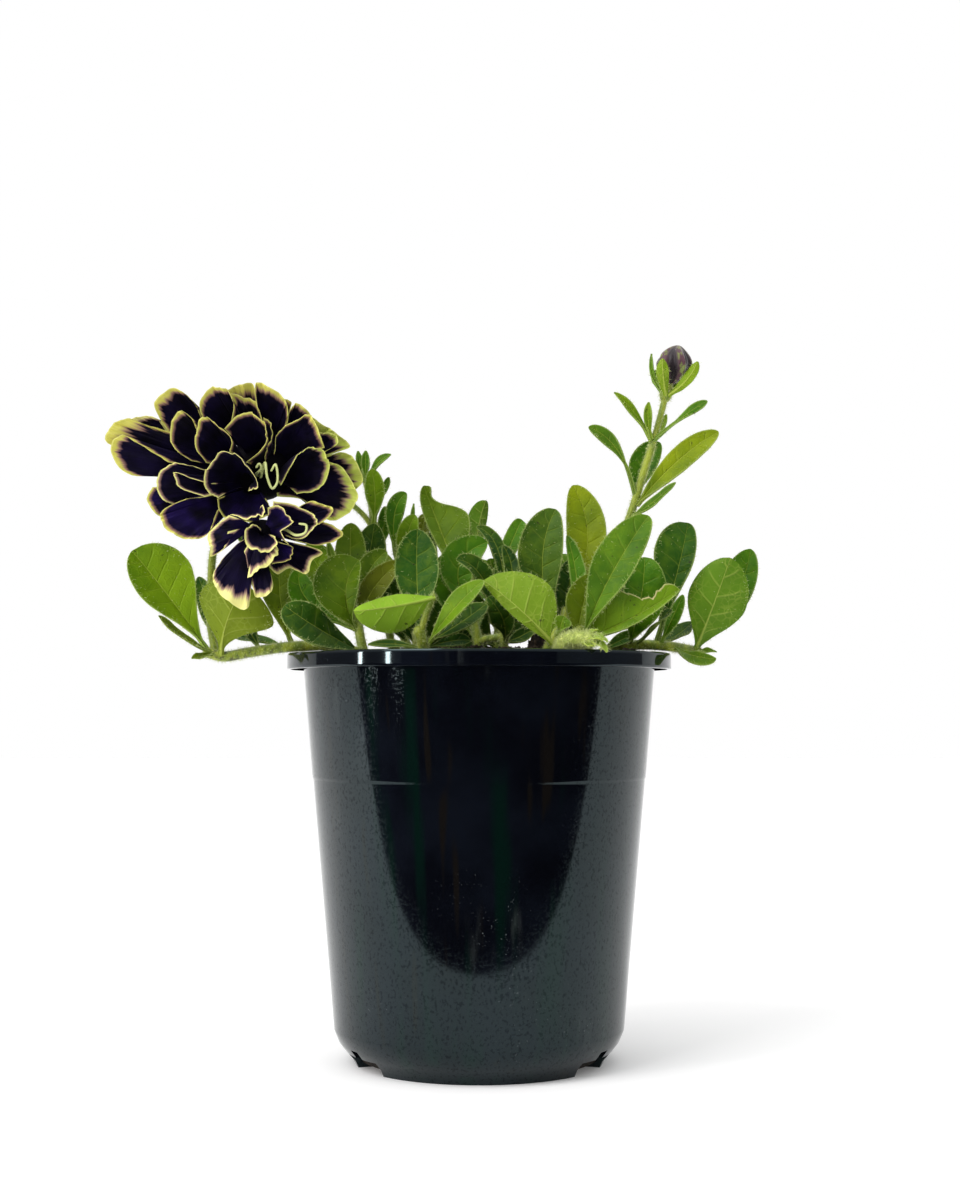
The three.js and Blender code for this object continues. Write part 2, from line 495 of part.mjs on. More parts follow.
const blooms = {
  bloom_upper: {
    centre: [-75, -22, 210.5],
    faces: [0.115, -0.985, -0.128],
    heart: { at: [-4, 1, -9.5], radii: [13, 11, 7] },
    tubeEnd: [-1, 0, -27],
    petals: [
      petal([-8, 3, -12], [[-50, 14, -5], [-48.3, 19, -5], [-44, 19.8, -4.5], [-40.3, 19.5, -4.5],
        [-36.7, 15, -5]]),
      petal([-8, 1, -10], [[-34, 14.3, -2], [-43, 16.6, 0], [-49.7, 18.8, 2], [-54.6, 16.4, 4],
        [-57.2, 11.4, 3], [-54.5, 8.8, 0]]),
      petal([-9, 0, -9], [[-35.3, 3.7, 3], [-43.3, 8.7, 5], [-51.7, 12.8, 7], [-55, 8.5, 6.5],
        [-50.5, 0, 4], [-39.3, -1.5, 1]]),
      petal([-6, 4, -12], [[-35.3, 14.3, -4], [-38.7, 19.3, -3], [-40.3, 24.7, -1], [-34, 29.8, 0],
        [-30, 28.2, -1], [-26, 24, -3], [-24, 19, -5]]),
      petal([-6, 0, -10], [[-27.3, 4.3, 1], [-33, 8.5, 3], [-34.7, 14, 4.5], [-31.3, 21.8, 6],
        [-27.5, 19.5, 4], [-24.8, 14, 2]]),
      petal([-6, -1, -9], [[-22, 3.7, 4], [-25.7, 9.5, 7], [-24.9, 16, 9], [-23.3, 19.7, 10],
        [-18.5, 17.3, 9], [-13.2, 12, 7], [-13.7, 7.7, 6]]),
      petal([-4, 5, -12], [[-23.3, 19, 0], [-24.5, 24.7, 1], [-20.5, 30, 3], [-15.3, 29.7, 3],
        [-12.6, 25, 2], [-13.5, 17.5, 0]]),
      petal([-3, 6, -13], [[-15.3, 29.5, -5], [-10.7, 31.7, -5], [-6.1, 32.1, -5], [-4.5, 24.5, -6]]),
      petal([-3, 5, -12], [[-13.7, 28.4, -2], [-9.5, 27.4, -1], [-4.6, 25, 0], [-2.5, 19, -1]]),
      petal([0, 5, -12], [[-3, 19, -3], [-4.7, 27, -3], [-4.7, 32.3, -2], [1, 30.4, -1], [5.7, 26.3, -2],
        [6.7, 22, -3], [5.5, 16, -5]]),
      petal([2, 5, -13], [[5.5, 27, -5.5], [7.2, 26.5, -5.5], [7.3, 22, -5.5], [6, 17, -6.5]]),
      petal([3, 4, -12], [[6.3, 17.7, -4], [7.7, 23.5, -3], [9.5, 25.3, -3], [13, 23.6, -3],
        [16.7, 18, -4]]),
      petal([4, 2, -14], [[15, 21, -7], [19.3, 18, -6], [23.3, 15.7, -5.5], [29, 10.3, -5],
        [25.3, 8.7, -6], [20.7, 6.7, -7]]),
      petal([4, 1, -12], [[18, 15, -1], [22.7, 14.7, 0], [24.7, 11.7, 1], [20, 8.3, -1]]),
      petal([2, 1, -11], [[2.3, 9.3, 0], [2.7, 14, 2], [7.3, 18, 4], [14.3, 21, 5], [17, 16.7, 4],
        [19.7, 9.7, 2]]),
      petal([4, -1, -13], [[21.7, 6.7, -6], [26, 8.3, -5], [30.5, 6, -4], [33.7, -2, -4],
        [31.5, -5, -5]]),
      petal([4, -2, -11.5], [[21.3, 4.7, -1], [25.8, 3, 0], [30, -3, 0], [31.8, -8, 0], [28, -14, -1],
        [22, -16.3, -2], [12, -9, -4], [3, -8, -5]]),
      petal([3, -2, -9], [[4.3, -4, 2], [7.7, 2.7, 6], [11.3, 8, 9], [17, 9.6, 9.5], [21.2, 4.5, 7],
        [18.5, -4.5, 3], [10, -7, 1]], 2),
      petal([-4, 1, -10], [[-15.7, 15.7, 5], [-10.7, 20.7, 6], [-5, 21, 7], [-0.9, 15, 7], [-2, 9.5, 6],
        [-8, 4, 4]], 2),
      petal([-2, 1, -11], [[-2, 20, 1.5], [1, 17.3, 2], [0.3, 12, 2], [-1.5, 6, 1]]),
      petal([-6, -5, -8], [[-17.7, -8.7, 6], [-22, -5.5, 8], [-22, 0.5, 10], [-15.5, 7.7, 13],
        [-9.5, 5, 13], [-3.8, -4.3, 12], [-7, -6, 9]], 2.5),
      petal([-7, -3, -9], [[-23.3, 1.3, 4], [-30, 3.2, 5], [-35.5, 2.6, 5], [-39.3, -3.3, 5],
        [-37.5, -9, 4], [-33.3, -11.3, 2]]),
      petal([-8, -4, -7.5], [[-21, -3.7, 6.5], [-27.3, -1.7, 9], [-32.8, 0, 10], [-31.3, -4.7, 9],
        [-22.3, -8.2, 7]], 0.6),
      petal([-8, -5, -10], [[-36, -10.5, 1], [-40.5, -5.3, 2], [-42.7, -9.5, 1], [-39, -15.2, 0],
        [-34, -16, -1]]),
      petal([-7, -6, -9], [[-22, -8.3, 3], [-30, -9.6, 5], [-37.7, -14.3, 6], [-36, -19.5, 6],
        [-29, -23.2, 5], [-22, -22, 5], [-18, -13, 3]], 2),
      petal([-5, -6, -9], [[-18, -9, 3], [-17, -14, 3], [-11, -17, 3], [-4, -16.5, 3], [0.5, -14, 2],
        [0, -10.5, 2]]),
    ],
    curls: [
      [[-3, -2, -8], [-2.6, 0, 1], [-1.3, 4, 6], [-0.6, -1, 8], [1.3, -5, 8.5], [3, -2.7, 8], [2.3, 3.5, 7.5],
        [0.9, 1.3, 7]],
      [[-4, -1, -8], [-4.5, 0, 0], [-3.6, 0.8, 5], [-2.6, 2.2, 6], [-3.4, 3.6, 6.3], [-4.4, 2.4, 6]],
    ],
  },
  bloom_lower: {
    centre: [-77.4, -30, 186],
    faces: [0.118, -0.985, -0.09],
    heart: { at: [1, 1.5, -3], radii: [7, 6, 5] },
    tubeEnd: [-9, 6, -23],
    petals: [
      petal([-2, 6, -3], [[-10.5, 8.8, 0], [-15.3, 4.9, 1], [-17.9, 1.4, 2], [-16.9, -2, 4],
        [-16.6, -5.5, 3], [-12.4, -3, 3], [-10.8, 3, 2]]),
      petal([-2, 2, -2], [[-7.8, -1.5, 1], [-13, -7.2, 3], [-15.9, -13, 5], [-12.5, -19.5, 7],
        [-4.2, -24, 7], [-2.9, -18, 6], [-5.2, -4, 2]], 2),
      petal([0, 0, -1], [[-3.3, -13, 4], [-2, -16.3, 5.5], [-1, -19.5, 6], [3.9, -18.5, 6], [5, -15, 5],
        [3.2, -10.4, 3]]),
      petal([0, 2, 0], [[-3.9, -13, 6.5], [0, -10.4, 8.5], [3.9, -7.8, 9], [6.5, -4.6, 9], [5.9, -1, 7]]),
      petal([1, 3, 0], [[0.3, 4.4, 6], [-2.6, 5.4, 8], [-5, 3, 9], [-3.3, -2.3, 11], [1.5, -4, 11.5],
        [6.2, -1.5, 9.5], [5.6, 1.5, 8]], 0.5),
      petal([-1, 8, -5], [[-10, 8.9, 6], [-5.2, 7.8, 8], [-0.6, 8.1, 9], [1.8, 10, 9], [1.2, 12.5, 7]],
        1.8),
      petal([2, 4, -1], [[2.9, 11.4, 6], [6.2, 12.2, 8], [9.6, 9.6, 10], [11.2, 6.2, 10], [7.5, 2.9, 9],
        [10.3, -1.2, 8]], 2),
      petal([4, 5, -5], [[4.9, 13.8, 2], [11.7, 12.7, 5], [17.6, 10, 7], [20.2, 7.6, 7.5], [19, 4.4, 7],
        [15, 0.9, 6], [11.5, 0.9, 5]]),
      petal([3, 4, -6], [[15, 12.7, 0], [18.6, 14.2, 1], [22.5, 12.8, 2], [26, 11.5, 2.5], [24.8, 9, 2],
        [21, 5.9, 1]]),
      petal([4, 3, -6], [[22.4, 7, -1.5], [26.7, 5.2, -1], [29.6, 2.6, 0], [22, -1.4, 0], [16, -0.6, 0]]),
      petal([3, 1, -5], [[16, -1.4, 0], [22.4, -4, 0], [18.4, -7.2, 1], [17, -11.6, 1], [11, -9.6, 1],
        [6.5, -11.6, 1], [3.9, -9.5, 1]]),
      petal([3, 1, -2], [[8.5, -1, 5], [11.4, -2, 5.5], [11.7, -4.9, 6], [9.8, -6.8, 6], [4.6, -8.2, 5]]),
    ],
    curls: [
      [[5, 4, -2], [9, 4, 4], [13, 2, 8], [16, 3, 9], [16.3, 5.5, 9], [14, 6, 9]],
    ],
  },
};

// The bloom's own frame: right, up and forward become X, Y and Z of its group before it is placed.
function bloomMatrix({ centre, faces }) {
  const forward = vector(faces).normalize();
  const right = new THREE.Vector3(0, 0, 1).cross(forward).normalize();
  const up = forward.clone().cross(right);
  return new THREE.Matrix4().makeBasis(right, up, forward).setPosition(vector(centre));
}

// The receptacle and the five sepals behind a bloom, clear of its trumpet.
function calyx(bloom) {
  const place = bloomMatrix(bloom);
  const end = vector(bloom.tubeEnd).applyMatrix4(place);
  const forward = vector(bloom.heart.at).applyMatrix4(place).sub(end).normalize();
  const across = new THREE.Vector3(0, 0, 1).cross(forward).normalize();
  const at = (ahead, out, turn) => {
    const way = across.clone().applyAxisAngle(forward, turn);
    return end.clone().addScaledVector(forward, ahead).addScaledVector(way, out).toArray();
  };
  const receptacle = { radius: CALYX_RADIUS, path: [at(-GAP - 2.6, 0, 0), at(-GAP, 0, 0)] };
  const sepals = [];
  for (let i = 0; i < SEPALS; i += 1) {
    const turn = (2 * Math.PI * i) / SEPALS;
    const inward = across.clone().applyAxisAngle(forward, turn).negate().toArray();
    sepals.push(leaf(at(-GAP - 1, 2.1, turn), at(4.5, 5, turn), at(10, 6.5, turn), 1.3, 1.3, inward));
  }
  return { receptacle, sepals };
}

// The trumpet behind the petals: narrow at its end, where the calyx holds it, and wide at the heart.
function trumpet(end, heart) {
  const length = vector(end).distanceTo(vector(heart.at));
  const wide = heart.radii[0] * 0.62;
  const profile = [[0, 0], [TUBE_RADIUS, 0], [TUBE_RADIUS + 0.5, length * 0.45],
    [wide, length * 0.9], [0, length * 0.9]];
  const geometry = new THREE.LatheGeometry(profile.map((pair) => new THREE.Vector2(...pair)), 8);
  const along = vector(heart.at).sub(vector(end)).normalize();
  const lean = new THREE.Quaternion().setFromUnitVectors(new THREE.Vector3(0, 1, 0), along);
  return solidOf(geometry.applyQuaternion(lean).translate(...end));
}

function bloomSolid({ heart, tubeEnd, petals, curls }) {
  const dome = new THREE.SphereGeometry(1, 9, 5).scale(...heart.radii).translate(...heart.at);
  const pieces = [solidOf(dome), trumpet(tubeEnd, heart)];
  pieces.push(...petals.map((data) => petalBlade(data, heart)));
  pieces.push(...curls.map((path) => stalk(path, 0.55, 4)));
  return joined(pieces);
}

function budSolid() {
  const base = new THREE.Vector3(68.9, -10.3, 244);
  const tip = new THREE.Vector3(72.9, -10, 259.3);
  const rings = 9;
  const sides = 15;
  const profile = [];
  const length = base.distanceTo(tip);
  for (let i = 0; i <= rings; i += 1) {
    const t = i / rings;
    const radius = 5.6 * Math.sin(Math.PI * t ** 1.15) ** 0.75 + 1.6 * (1 - t) * t;
    profile.push(new THREE.Vector2(radius, length * t));
  }
  profile[0].x = 0;
  profile[rings].x = 0;
  const geometry = new THREE.LatheGeometry(profile, sides);
  const position = geometry.attributes.position;
  for (let i = 0; i < position.count; i += 1) {
    const point = new THREE.Vector3().fromBufferAttribute(position, i);
    const turn = Math.atan2(point.z, point.x) * 5 + point.y * 0.35;
    const pleat = 1 + 0.1 * Math.sin(turn);
    position.setXYZ(i, point.x * pleat, point.y, point.z * pleat);
  }
  const lean = new THREE.Quaternion().setFromUnitVectors(
    new THREE.Vector3(0, 1, 0),
    tip.clone().sub(base).normalize(),
  );
  geometry.applyQuaternion(lean).translate(base.x, base.y, base.z);
  return solidOf(geometry);
}

// Pot and soil

function wallRadius(z) {
  if (z > MOULD_LINE_Z) {
    const rise = (z - MOULD_LINE_Z) / (POT_HEIGHT - RIM_BAND - MOULD_LINE_Z);
    return WALL_RADIUS_MOULD + (WALL_RADIUS_TOP - WALL_RADIUS_MOULD) * rise;
  }
  return WALL_RADIUS_LOW + (WALL_RADIUS_MOULD - 0.3 - WALL_RADIUS_LOW) * ((z - 15) / (MOULD_LINE_Z - 15));
}

function lathe(pairs, sides) {
  const profile = pairs.map(([r, z]) => new THREE.Vector2(r, z));
  return new THREE.LatheGeometry(profile, sides).rotateX(Math.PI / 2);
}

const outerCorner = [[FOOT_RADIUS, 0], [45.9, 2.3], [48.6, 5.3], [50.8, 8.2], [52.4, 12.2]];
const innerCorner = [[43.4, 1.5], [47.4, 6.2], [49.6, 9.2], [51.2, 13]];

function potBody() {
  const under = POT_HEIGHT - RIM_BAND;
  const lip = RIM_RADIUS - WALL;
  const outside = [
    [0, 0],
    ...outerCorner,
    [wallRadius(MOULD_LINE_Z - 0.3), MOULD_LINE_Z - 0.3],
    [wallRadius(MOULD_LINE_Z + 0.3), MOULD_LINE_Z + 0.3],
    [WALL_RADIUS_TOP, POT_HEIGHT - WALL],
    [lip, POT_HEIGHT - WALL],
    [lip, under],
    [RIM_RADIUS - 0.5, under],
    [RIM_RADIUS, under + 0.6],
    [RIM_RADIUS, POT_HEIGHT - 0.8],
    [RIM_RADIUS - 0.8, POT_HEIGHT],
  ];
  const inside = [
    [WALL_RADIUS_TOP - WALL + 0.4, POT_HEIGHT],
    [WALL_RADIUS_TOP - WALL, POT_HEIGHT - 0.5],
    [WALL_RADIUS_MOULD - WALL, MOULD_LINE_Z],
    ...innerCorner.slice().reverse(),
    [0, 1.5],
  ];
  return solidOf(lathe([...outside, ...inside], POT_SIDES));
}

// A wedge of a channel, from the inner radius out through the wall, grown by a margin.
function channelWedge(angle, grow, height) {
  const inner = CHANNEL_INNER_RADIUS - grow;
  const outer = 60;
  const spread = Math.tan(deg(CHANNEL_HALF_ANGLE));
  const shape = new THREE.Shape();
  shape.moveTo(inner, -inner * spread - grow);
  shape.lineTo(outer, -outer * spread - grow);
  shape.lineTo(outer, outer * spread + grow);
  shape.lineTo(inner, inner * spread + grow);
  const wedge = new THREE.ExtrudeGeometry(shape, { depth: height + 1, bevelEnabled: false });
  return solidOf(wedge.translate(0, 0, -1).rotateZ(deg(angle - 90)));
}

function drainSlot(angle) {
  const slot = new THREE.BoxGeometry(12, DRAIN_WIDTH, DRAIN_HEIGHT);
  return solidOf(slot.translate(50, 0, CHANNEL_HEIGHT + DRAIN_HEIGHT / 2 - 0.2).rotateZ(deg(angle - 90)));
}

function potSolid() {
  const envelope = solidOf(lathe([[0, 0], ...outerCorner, [52.4, 20], [0, 20]], POT_SIDES));
  let pot = potBody();
  for (const angle of CHANNEL_ANGLES) {
    pot = pot.add(channelWedge(angle, WALL, CHANNEL_HEIGHT + WALL).intersect(envelope));
  }
  for (const angle of CHANNEL_ANGLES) {
    pot = pot.subtract(channelWedge(angle, 0, CHANNEL_HEIGHT)).subtract(drainSlot(angle));
  }
  return pot;
}

function soilBump(x, y) {
  return SOIL_BUMP * (Math.sin(0.31 * x + 0.17 * y) + Math.sin(0.23 * y - 0.29 * x + 1.3));
}

// Clods of compost that stand up from the mound: the centre and the radii of each.
const clods = [
  { at: [-12, -14, 147.6], radii: [7, 5, 3] },
  { at: [21.5, -6, 148], radii: [4, 4.5, 8] },
  { at: [52, 4, 145], radii: [9, 8, 4.5] },
  { at: [54, -12, 144.5], radii: [5, 6, 4.5] },
];

function soilSolid(stemHoles) {
  const rings = [57, 44, 30, 15];
  const rim = WALL_RADIUS_TOP - WALL - GAP - 0.4;
  const profile = [
    [0, 1.5 + GAP],
    [innerCorner[0][0] - GAP - 0.1, innerCorner[0][1] + GAP],
    [innerCorner[3][0] - GAP - 0.6, innerCorner[3][1] + GAP],
    [WALL_RADIUS_MOULD - WALL - GAP - 0.15, MOULD_LINE_Z],
    [rim, SOIL_EDGE_Z],
    ...rings.map((r) => [r, SOIL_CROWN_Z - (SOIL_CROWN_Z - SOIL_EDGE_Z) * (r / rim) ** 4]),
    [0, SOIL_CROWN_Z],
  ];
  const geometry = lathe(profile, SOIL_SIDES);
  const position = geometry.attributes.position;
  for (let i = 0; i < position.count; i += 1) {
    if (position.getZ(i) <= SOIL_EDGE_Z + 0.1) continue;
    position.setZ(i, position.getZ(i) + soilBump(position.getX(i), position.getY(i)));
  }
  let soil = solidOf(geometry);
  for (const { at, radii } of clods) {
    soil = soil.add(solidOf(new THREE.SphereGeometry(1, 8, 6).scale(...radii).translate(...at)));
  }
  for (const angle of CHANNEL_ANGLES) {
    soil = soil.subtract(channelWedge(angle, WALL + GAP, CHANNEL_HEIGHT + WALL + GAP));
  }
  return stemHoles.reduce((left, hole) => left.subtract(hole), soil);
}

// Assembly

const stubPath = [[30, -49, 136], [28.5, -50.5, 143], [28.5, -52.3, 149], [33, -54.8, 150.9],
  [37.5, -56.8, 150.4]];
const STUB_RADIUS = 2.5;
const stubTorn = [
  leaf([36, -56.3, 151.6], [40, -58.2, 151.2], [43, -59.6, 149.4], 1.6, 1.6, SKY, { widest: 0.5 }),
  leaf([36, -56.4, 150], [39.8, -58.8, 149], [42.6, -60.6, 145.8], 2.2, 2, SKY, { widest: 0.5 }),
];

function stubSolid() {
  return joined([stalk(stubPath, STUB_RADIUS, 8), ...stubTorn.map(leafBlade)]);
}

function stemHole({ path, radius }, sides) {
  const [x, y, z] = path[0];
  return stalk([[x, y, z - 1], ...path.slice(1)], radius + GAP + HOLE_SLACK, sides);
}

const plant = new THREE.Group();
plant.add(meshOf('pot', potSolid(), 'pot'));

const holes = [stemHole({ path: stubPath, radius: STUB_RADIUS }, 8)];
for (const { rooted } of Object.values(leafyStems)) {
  for (const stem of rooted) holes.push(stemHole(stem, STEM_SIDES));
}
plant.add(meshOf('soil', soilSolid(holes), 'soil'));

for (const [name, { rooted, stalks, leaves, holds }] of Object.entries(leafyStems)) {
  const round = [...rooted, ...stalks];
  const flat = [...leaves];
  if (holds) {
    const { receptacle, sepals } = calyx(blooms[holds]);
    round.push(receptacle);
    flat.push(...sepals);
  }
  const stems = round.map(({ path, radius }) => stalk(path, radius));
  plant.add(meshOf(name, joined([...stems, ...flat.map(leafBlade)]), 'leaf'));
}
plant.add(meshOf('cut_stem', stubSolid(), 'stub'));

for (const [name, data] of Object.entries(blooms)) {
  const bloom = meshOf(name, bloomSolid(data), 'petal');
  bloom.applyMatrix4(bloomMatrix(data));
  plant.add(bloom);
}
plant.add(meshOf('bud', budSolid(), 'petal'));

export default plant;
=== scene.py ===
# %% [markdown]
# # A petunia in a nursery pot
# The plant has two double blooms, a bud on a tall shoot and low leafy stems. It stands in a round
# black nursery pot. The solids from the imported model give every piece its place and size. This file
# puts finer pieces over them, in the same frame, and gives each one its surface. Sizes are written
# in millimetres, as a gardener or a pot maker would state them, and turned into metres at the end.

# %% Load the fixed frame
import math

import bpy
import numpy as np
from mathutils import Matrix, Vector


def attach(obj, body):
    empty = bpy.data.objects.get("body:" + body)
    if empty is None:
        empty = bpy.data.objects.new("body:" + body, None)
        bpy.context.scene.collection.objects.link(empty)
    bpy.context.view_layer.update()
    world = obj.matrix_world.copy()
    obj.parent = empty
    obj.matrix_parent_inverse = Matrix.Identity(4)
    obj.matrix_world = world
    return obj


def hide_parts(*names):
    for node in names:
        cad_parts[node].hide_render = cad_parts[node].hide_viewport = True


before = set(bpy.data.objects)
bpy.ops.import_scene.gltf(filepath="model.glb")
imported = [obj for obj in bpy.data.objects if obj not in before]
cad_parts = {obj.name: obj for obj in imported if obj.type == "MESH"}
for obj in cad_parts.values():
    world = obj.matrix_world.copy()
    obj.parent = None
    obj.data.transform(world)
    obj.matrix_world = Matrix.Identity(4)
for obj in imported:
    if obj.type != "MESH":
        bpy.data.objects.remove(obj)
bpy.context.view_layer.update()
MM = 0.001

# %% [markdown]
# ## Camera
# The camera stands about five pot widths away, with the lens just below the rim and tipped up a
# little, so the rim is seen almost edge on. A real camera has one lens and no shift, so the view
# is set by place, pitch and focal length alone.

# %% Camera
scene = bpy.context.scene
camera_data = bpy.data.cameras.new("camera")
camera_data.sensor_fit = "VERTICAL"
camera_data.sensor_width = 36
camera_data.sensor_height = 36
camera_data.lens = 55.68
camera = bpy.data.objects.new("camera", camera_data)
scene.collection.objects.link(camera)
camera.location = (0.0003, -0.68, 0.1276)
camera.rotation_euler = (math.radians(93.3), 0, 0)
scene.camera = camera
print("camera at", tuple(camera.location))

# %% [markdown]
# ## Short words for shader nodes
# A material is a small network. This helper adds a node, feeds its inputs with numbers, colours or
# other nodes' sockets, and hands back the socket that is wanted next, so each finish below reads
# from its pattern to its surface.


# %% Node helper
def srgb(text):
    """A colour written as in a paint list, such as 3F7A12, in the linear numbers that shaders use."""
    parts = [int(text[i:i + 2], 16) / 255 for i in (0, 2, 4)]
    linear = [c / 12.92 if c <= 0.04045 else ((c + 0.055) / 1.055) ** 2.4 for c in parts]
    return (*linear, 1.0)


class Finish:
    """A new material and short words for wiring it."""

    def __init__(self, name, roughness=0.5, **constants):
        self.material = bpy.data.materials.new(name)
        self.material.use_nodes = True
        self.nodes = self.material.node_tree.nodes
        self.links = self.material.node_tree.links
        self.shader = self.nodes["Principled BSDF"]
        self.set(Roughness=roughness)
        for socket, value in constants.items():
            self.set(**{socket.replace("_", " "): value})

    def feed(self, socket, value):
        if isinstance(value, bpy.types.NodeSocket):
            self.links.new(value, socket)
        else:
            socket.default_value = value

    def set(self, **values):
        for socket, value in values.items():
            self.feed(self.shader.inputs[socket], value)

    def add(self, kind, inputs=(), **settings):
        node = self.nodes.new(kind)
        for name, value in settings.items():
            setattr(node, name, value)
        for key, value in dict(inputs).items():
            self.feed(node.inputs[key], value)
        return node

    def math(self, operation, *values):
        return self.add("ShaderNodeMath", enumerate(values), operation=operation).outputs[0]

    def times(self, *values):
        return self.math("MULTIPLY", *values)

    def mix(self, share, first, second, blend="MIX"):
        wires = {0: share, 6: first, 7: second}
        node = self.add("ShaderNodeMix", wires, data_type="RGBA", blend_type=blend)
        return node.outputs[2]

    def step(self, value, low, high):
        """Rises smoothly from 0 at low to 1 at high."""
        wires = {0: value, 1: low, 2: high}
        return self.add("ShaderNodeMapRange", wires, interpolation_type="SMOOTHSTEP").outputs[0]

    def fall(self, value, low, high):
        """Falls smoothly from 1 at low to 0 at high."""
        return self.math("SUBTRACT", 1.0, self.step(value, low, high))

    def fact(self, name, output="Fac"):
        """What each point of the mesh knows under this name: a number, or a colour."""
        return self.add("ShaderNodeAttribute", attribute_name=name).outputs[output]

    def place(self):
        return self.add("ShaderNodeTexCoord").outputs["Object"]

    def stretched(self, vector, scale):
        wires = {"Vector": vector, "Scale": scale}
        return self.add("ShaderNodeMapping", wires).outputs[0]

    def noise(self, vector, scale, detail=3.0, roughness=0.5):
        wires = {"Vector": vector, "Scale": scale, "Detail": detail, "Roughness": roughness}
        return self.add("ShaderNodeTexNoise", wires).outputs[0]

    def cells(self, vector, scale):
        wires = {"Vector": vector, "Scale": scale}
        return self.add("ShaderNodeTexVoronoi", wires, feature="DISTANCE_TO_EDGE").outputs[0]

    def uv(self):
        return self.add("ShaderNodeUVMap", uv_map="UVMap").outputs[0]

    def bump(self, height, strength, distance, below=None):
        wires = {"Height": height, "Strength": strength, "Distance": distance}
        if below is not None:
            wires["Normal"] = below
        return self.add("ShaderNodeBump", wires).outputs[0]

# %% [markdown]
# ## Stage and light
# The plant is shown as in a catalogue: a pale floor, an even white room and one large soft light
# from the upper left. A glossy black pot mirrors what lies in front of it, so a dark card that only
# reflections can see lies where the table ends in the photograph. It gives the pot its dark middle.
# A pale wall behind the plant, seen by reflections alone, keeps the pot's upper edges light.


# %% Stage
def flat_card(name, corners, material):
    mesh = bpy.data.meshes.new(name)
    mesh.from_pydata([[c * MM for c in corner] for corner in corners], [], [(0, 1, 2, 3)])
    mesh.materials.append(material)
    card = bpy.data.objects.new(name, mesh)
    scene.collection.objects.link(card)
    return card


def only_in_reflections(card):
    card.visible_camera = False
    card.visible_diffuse = False
    card.visible_shadow = False
    card.visible_transmission = False


pale = Finish("pale_floor", roughness=0.9, Base_Color=(0.98, 0.98, 0.98, 1), Emission_Color=(1, 1, 1, 1),
              Emission_Strength=0.08).material
dark = Finish("dark_card", roughness=1.0, Base_Color=(0.002, 0.002, 0.002, 1)).material
dark.node_tree.nodes["Principled BSDF"].inputs["Specular IOR Level"].default_value = 0
far, room, table_end, dark_height = 4000, 1500, -165, 420
flat_card("floor", [(-far, -far, 0), (far, -far, 0), (far, far, 0), (-far, far, 0)], pale)
only_in_reflections(flat_card("beyond_table", [(-far, -far, 2), (far, -far, 2),
                                               (far, table_end, 2), (-far, table_end, 2)], dark))
only_in_reflections(flat_card("dark_room", [(-room, -room, 0), (room, -room, 0),
                                            (room, -room, dark_height), (-room, -room, dark_height)], dark))
only_in_reflections(flat_card("white_wall", [(-far, room, 0), (far, room, 0),
                                             (far, room, room), (-far, room, room)], pale))


# %% Light
world = bpy.data.worlds.new("white_room")
world.use_nodes = True
nodes, links = world.node_tree.nodes, world.node_tree.links
backdrop = nodes["Background"]
backdrop.inputs["Color"].default_value = (1, 1, 1, 1)
ceiling = nodes.new("ShaderNodeBackground")
height = nodes.new("ShaderNodeSeparateXYZ")
links.new(nodes.new("ShaderNodeTexCoord").outputs["Generated"], height.inputs[0])
rise = nodes.new("ShaderNodeMapRange")
rise.inputs["From Min"].default_value = 0.0
rise.inputs["From Max"].default_value = 0.9
rise.inputs["To Min"].default_value = 0.15
rise.inputs["To Max"].default_value = 1.6
links.new(height.outputs["Z"], rise.inputs["Value"])
links.new(rise.outputs[0], ceiling.inputs["Strength"])
seen = nodes.new("ShaderNodeMixShader")
links.new(nodes.new("ShaderNodeLightPath").outputs["Is Camera Ray"], seen.inputs[0])
links.new(ceiling.outputs[0], seen.inputs[1])
links.new(backdrop.outputs[0], seen.inputs[2])
links.new(seen.outputs[0], nodes["World Output"].inputs["Surface"])
scene.world = world
scene.view_settings.view_transform = "Standard"


def soft_light(name, place, aim, width, height, watts, colour=(1, 1, 1)):
    lamp = bpy.data.lights.new(name, "AREA")
    lamp.shape = "RECTANGLE"
    lamp.size = width * MM
    lamp.size_y = height * MM
    lamp.energy = watts
    lamp.color = colour
    light = bpy.data.objects.new(name, lamp)
    scene.collection.objects.link(light)
    light.location = Vector(place) * MM
    light.rotation_euler = (Vector(aim) - Vector(place)).to_track_quat("-Z", "Y").to_euler()
    light.visible_camera = False
    return light


crown, rim, warm = (0, 0, 150), (0, 0, 145), (1, 0.93, 0.92)
soft_light("key", (-900, -900, 1300), crown, 900, 900, 14)
soft_light("window_left", (-940, -330, 200), rim, 40, 300, 1.6, warm)
soft_light("window_front", (-790, -610, 200), rim, 44, 300, 1.8, warm)

# %% [markdown]
# ## Thin blades and round stems
# Every leaf and petal is a thin sheet with two faces, and every stem is a tube. Both are sampled
# as grids of points here, because their shapes follow rules, and each point also carries facts that
# the finishes read, such as how far it is from a petal's margin. All the parts of one leafy stem
# end up in one mesh.


# %% Parts of a mesh
def unit(vectors):
    return vectors / np.maximum(np.linalg.norm(vectors, axis=-1, keepdims=True), 1e-9)


def part(points, quads, uv, facts, slot=0):
    """Part of a mesh: points in mm, four-cornered faces, a UV and named facts for each point, a slot."""
    return {"points": points, "quads": np.array(quads), "uv": uv, "facts": facts, "slot": slot}


def grid_quads(rows, columns):
    r, c = np.meshgrid(np.arange(rows - 1), np.arange(columns - 1), indexing="ij")
    first = (r * columns + c).ravel()
    return np.stack([first, first + 1, first + columns + 1, first + columns], axis=1)


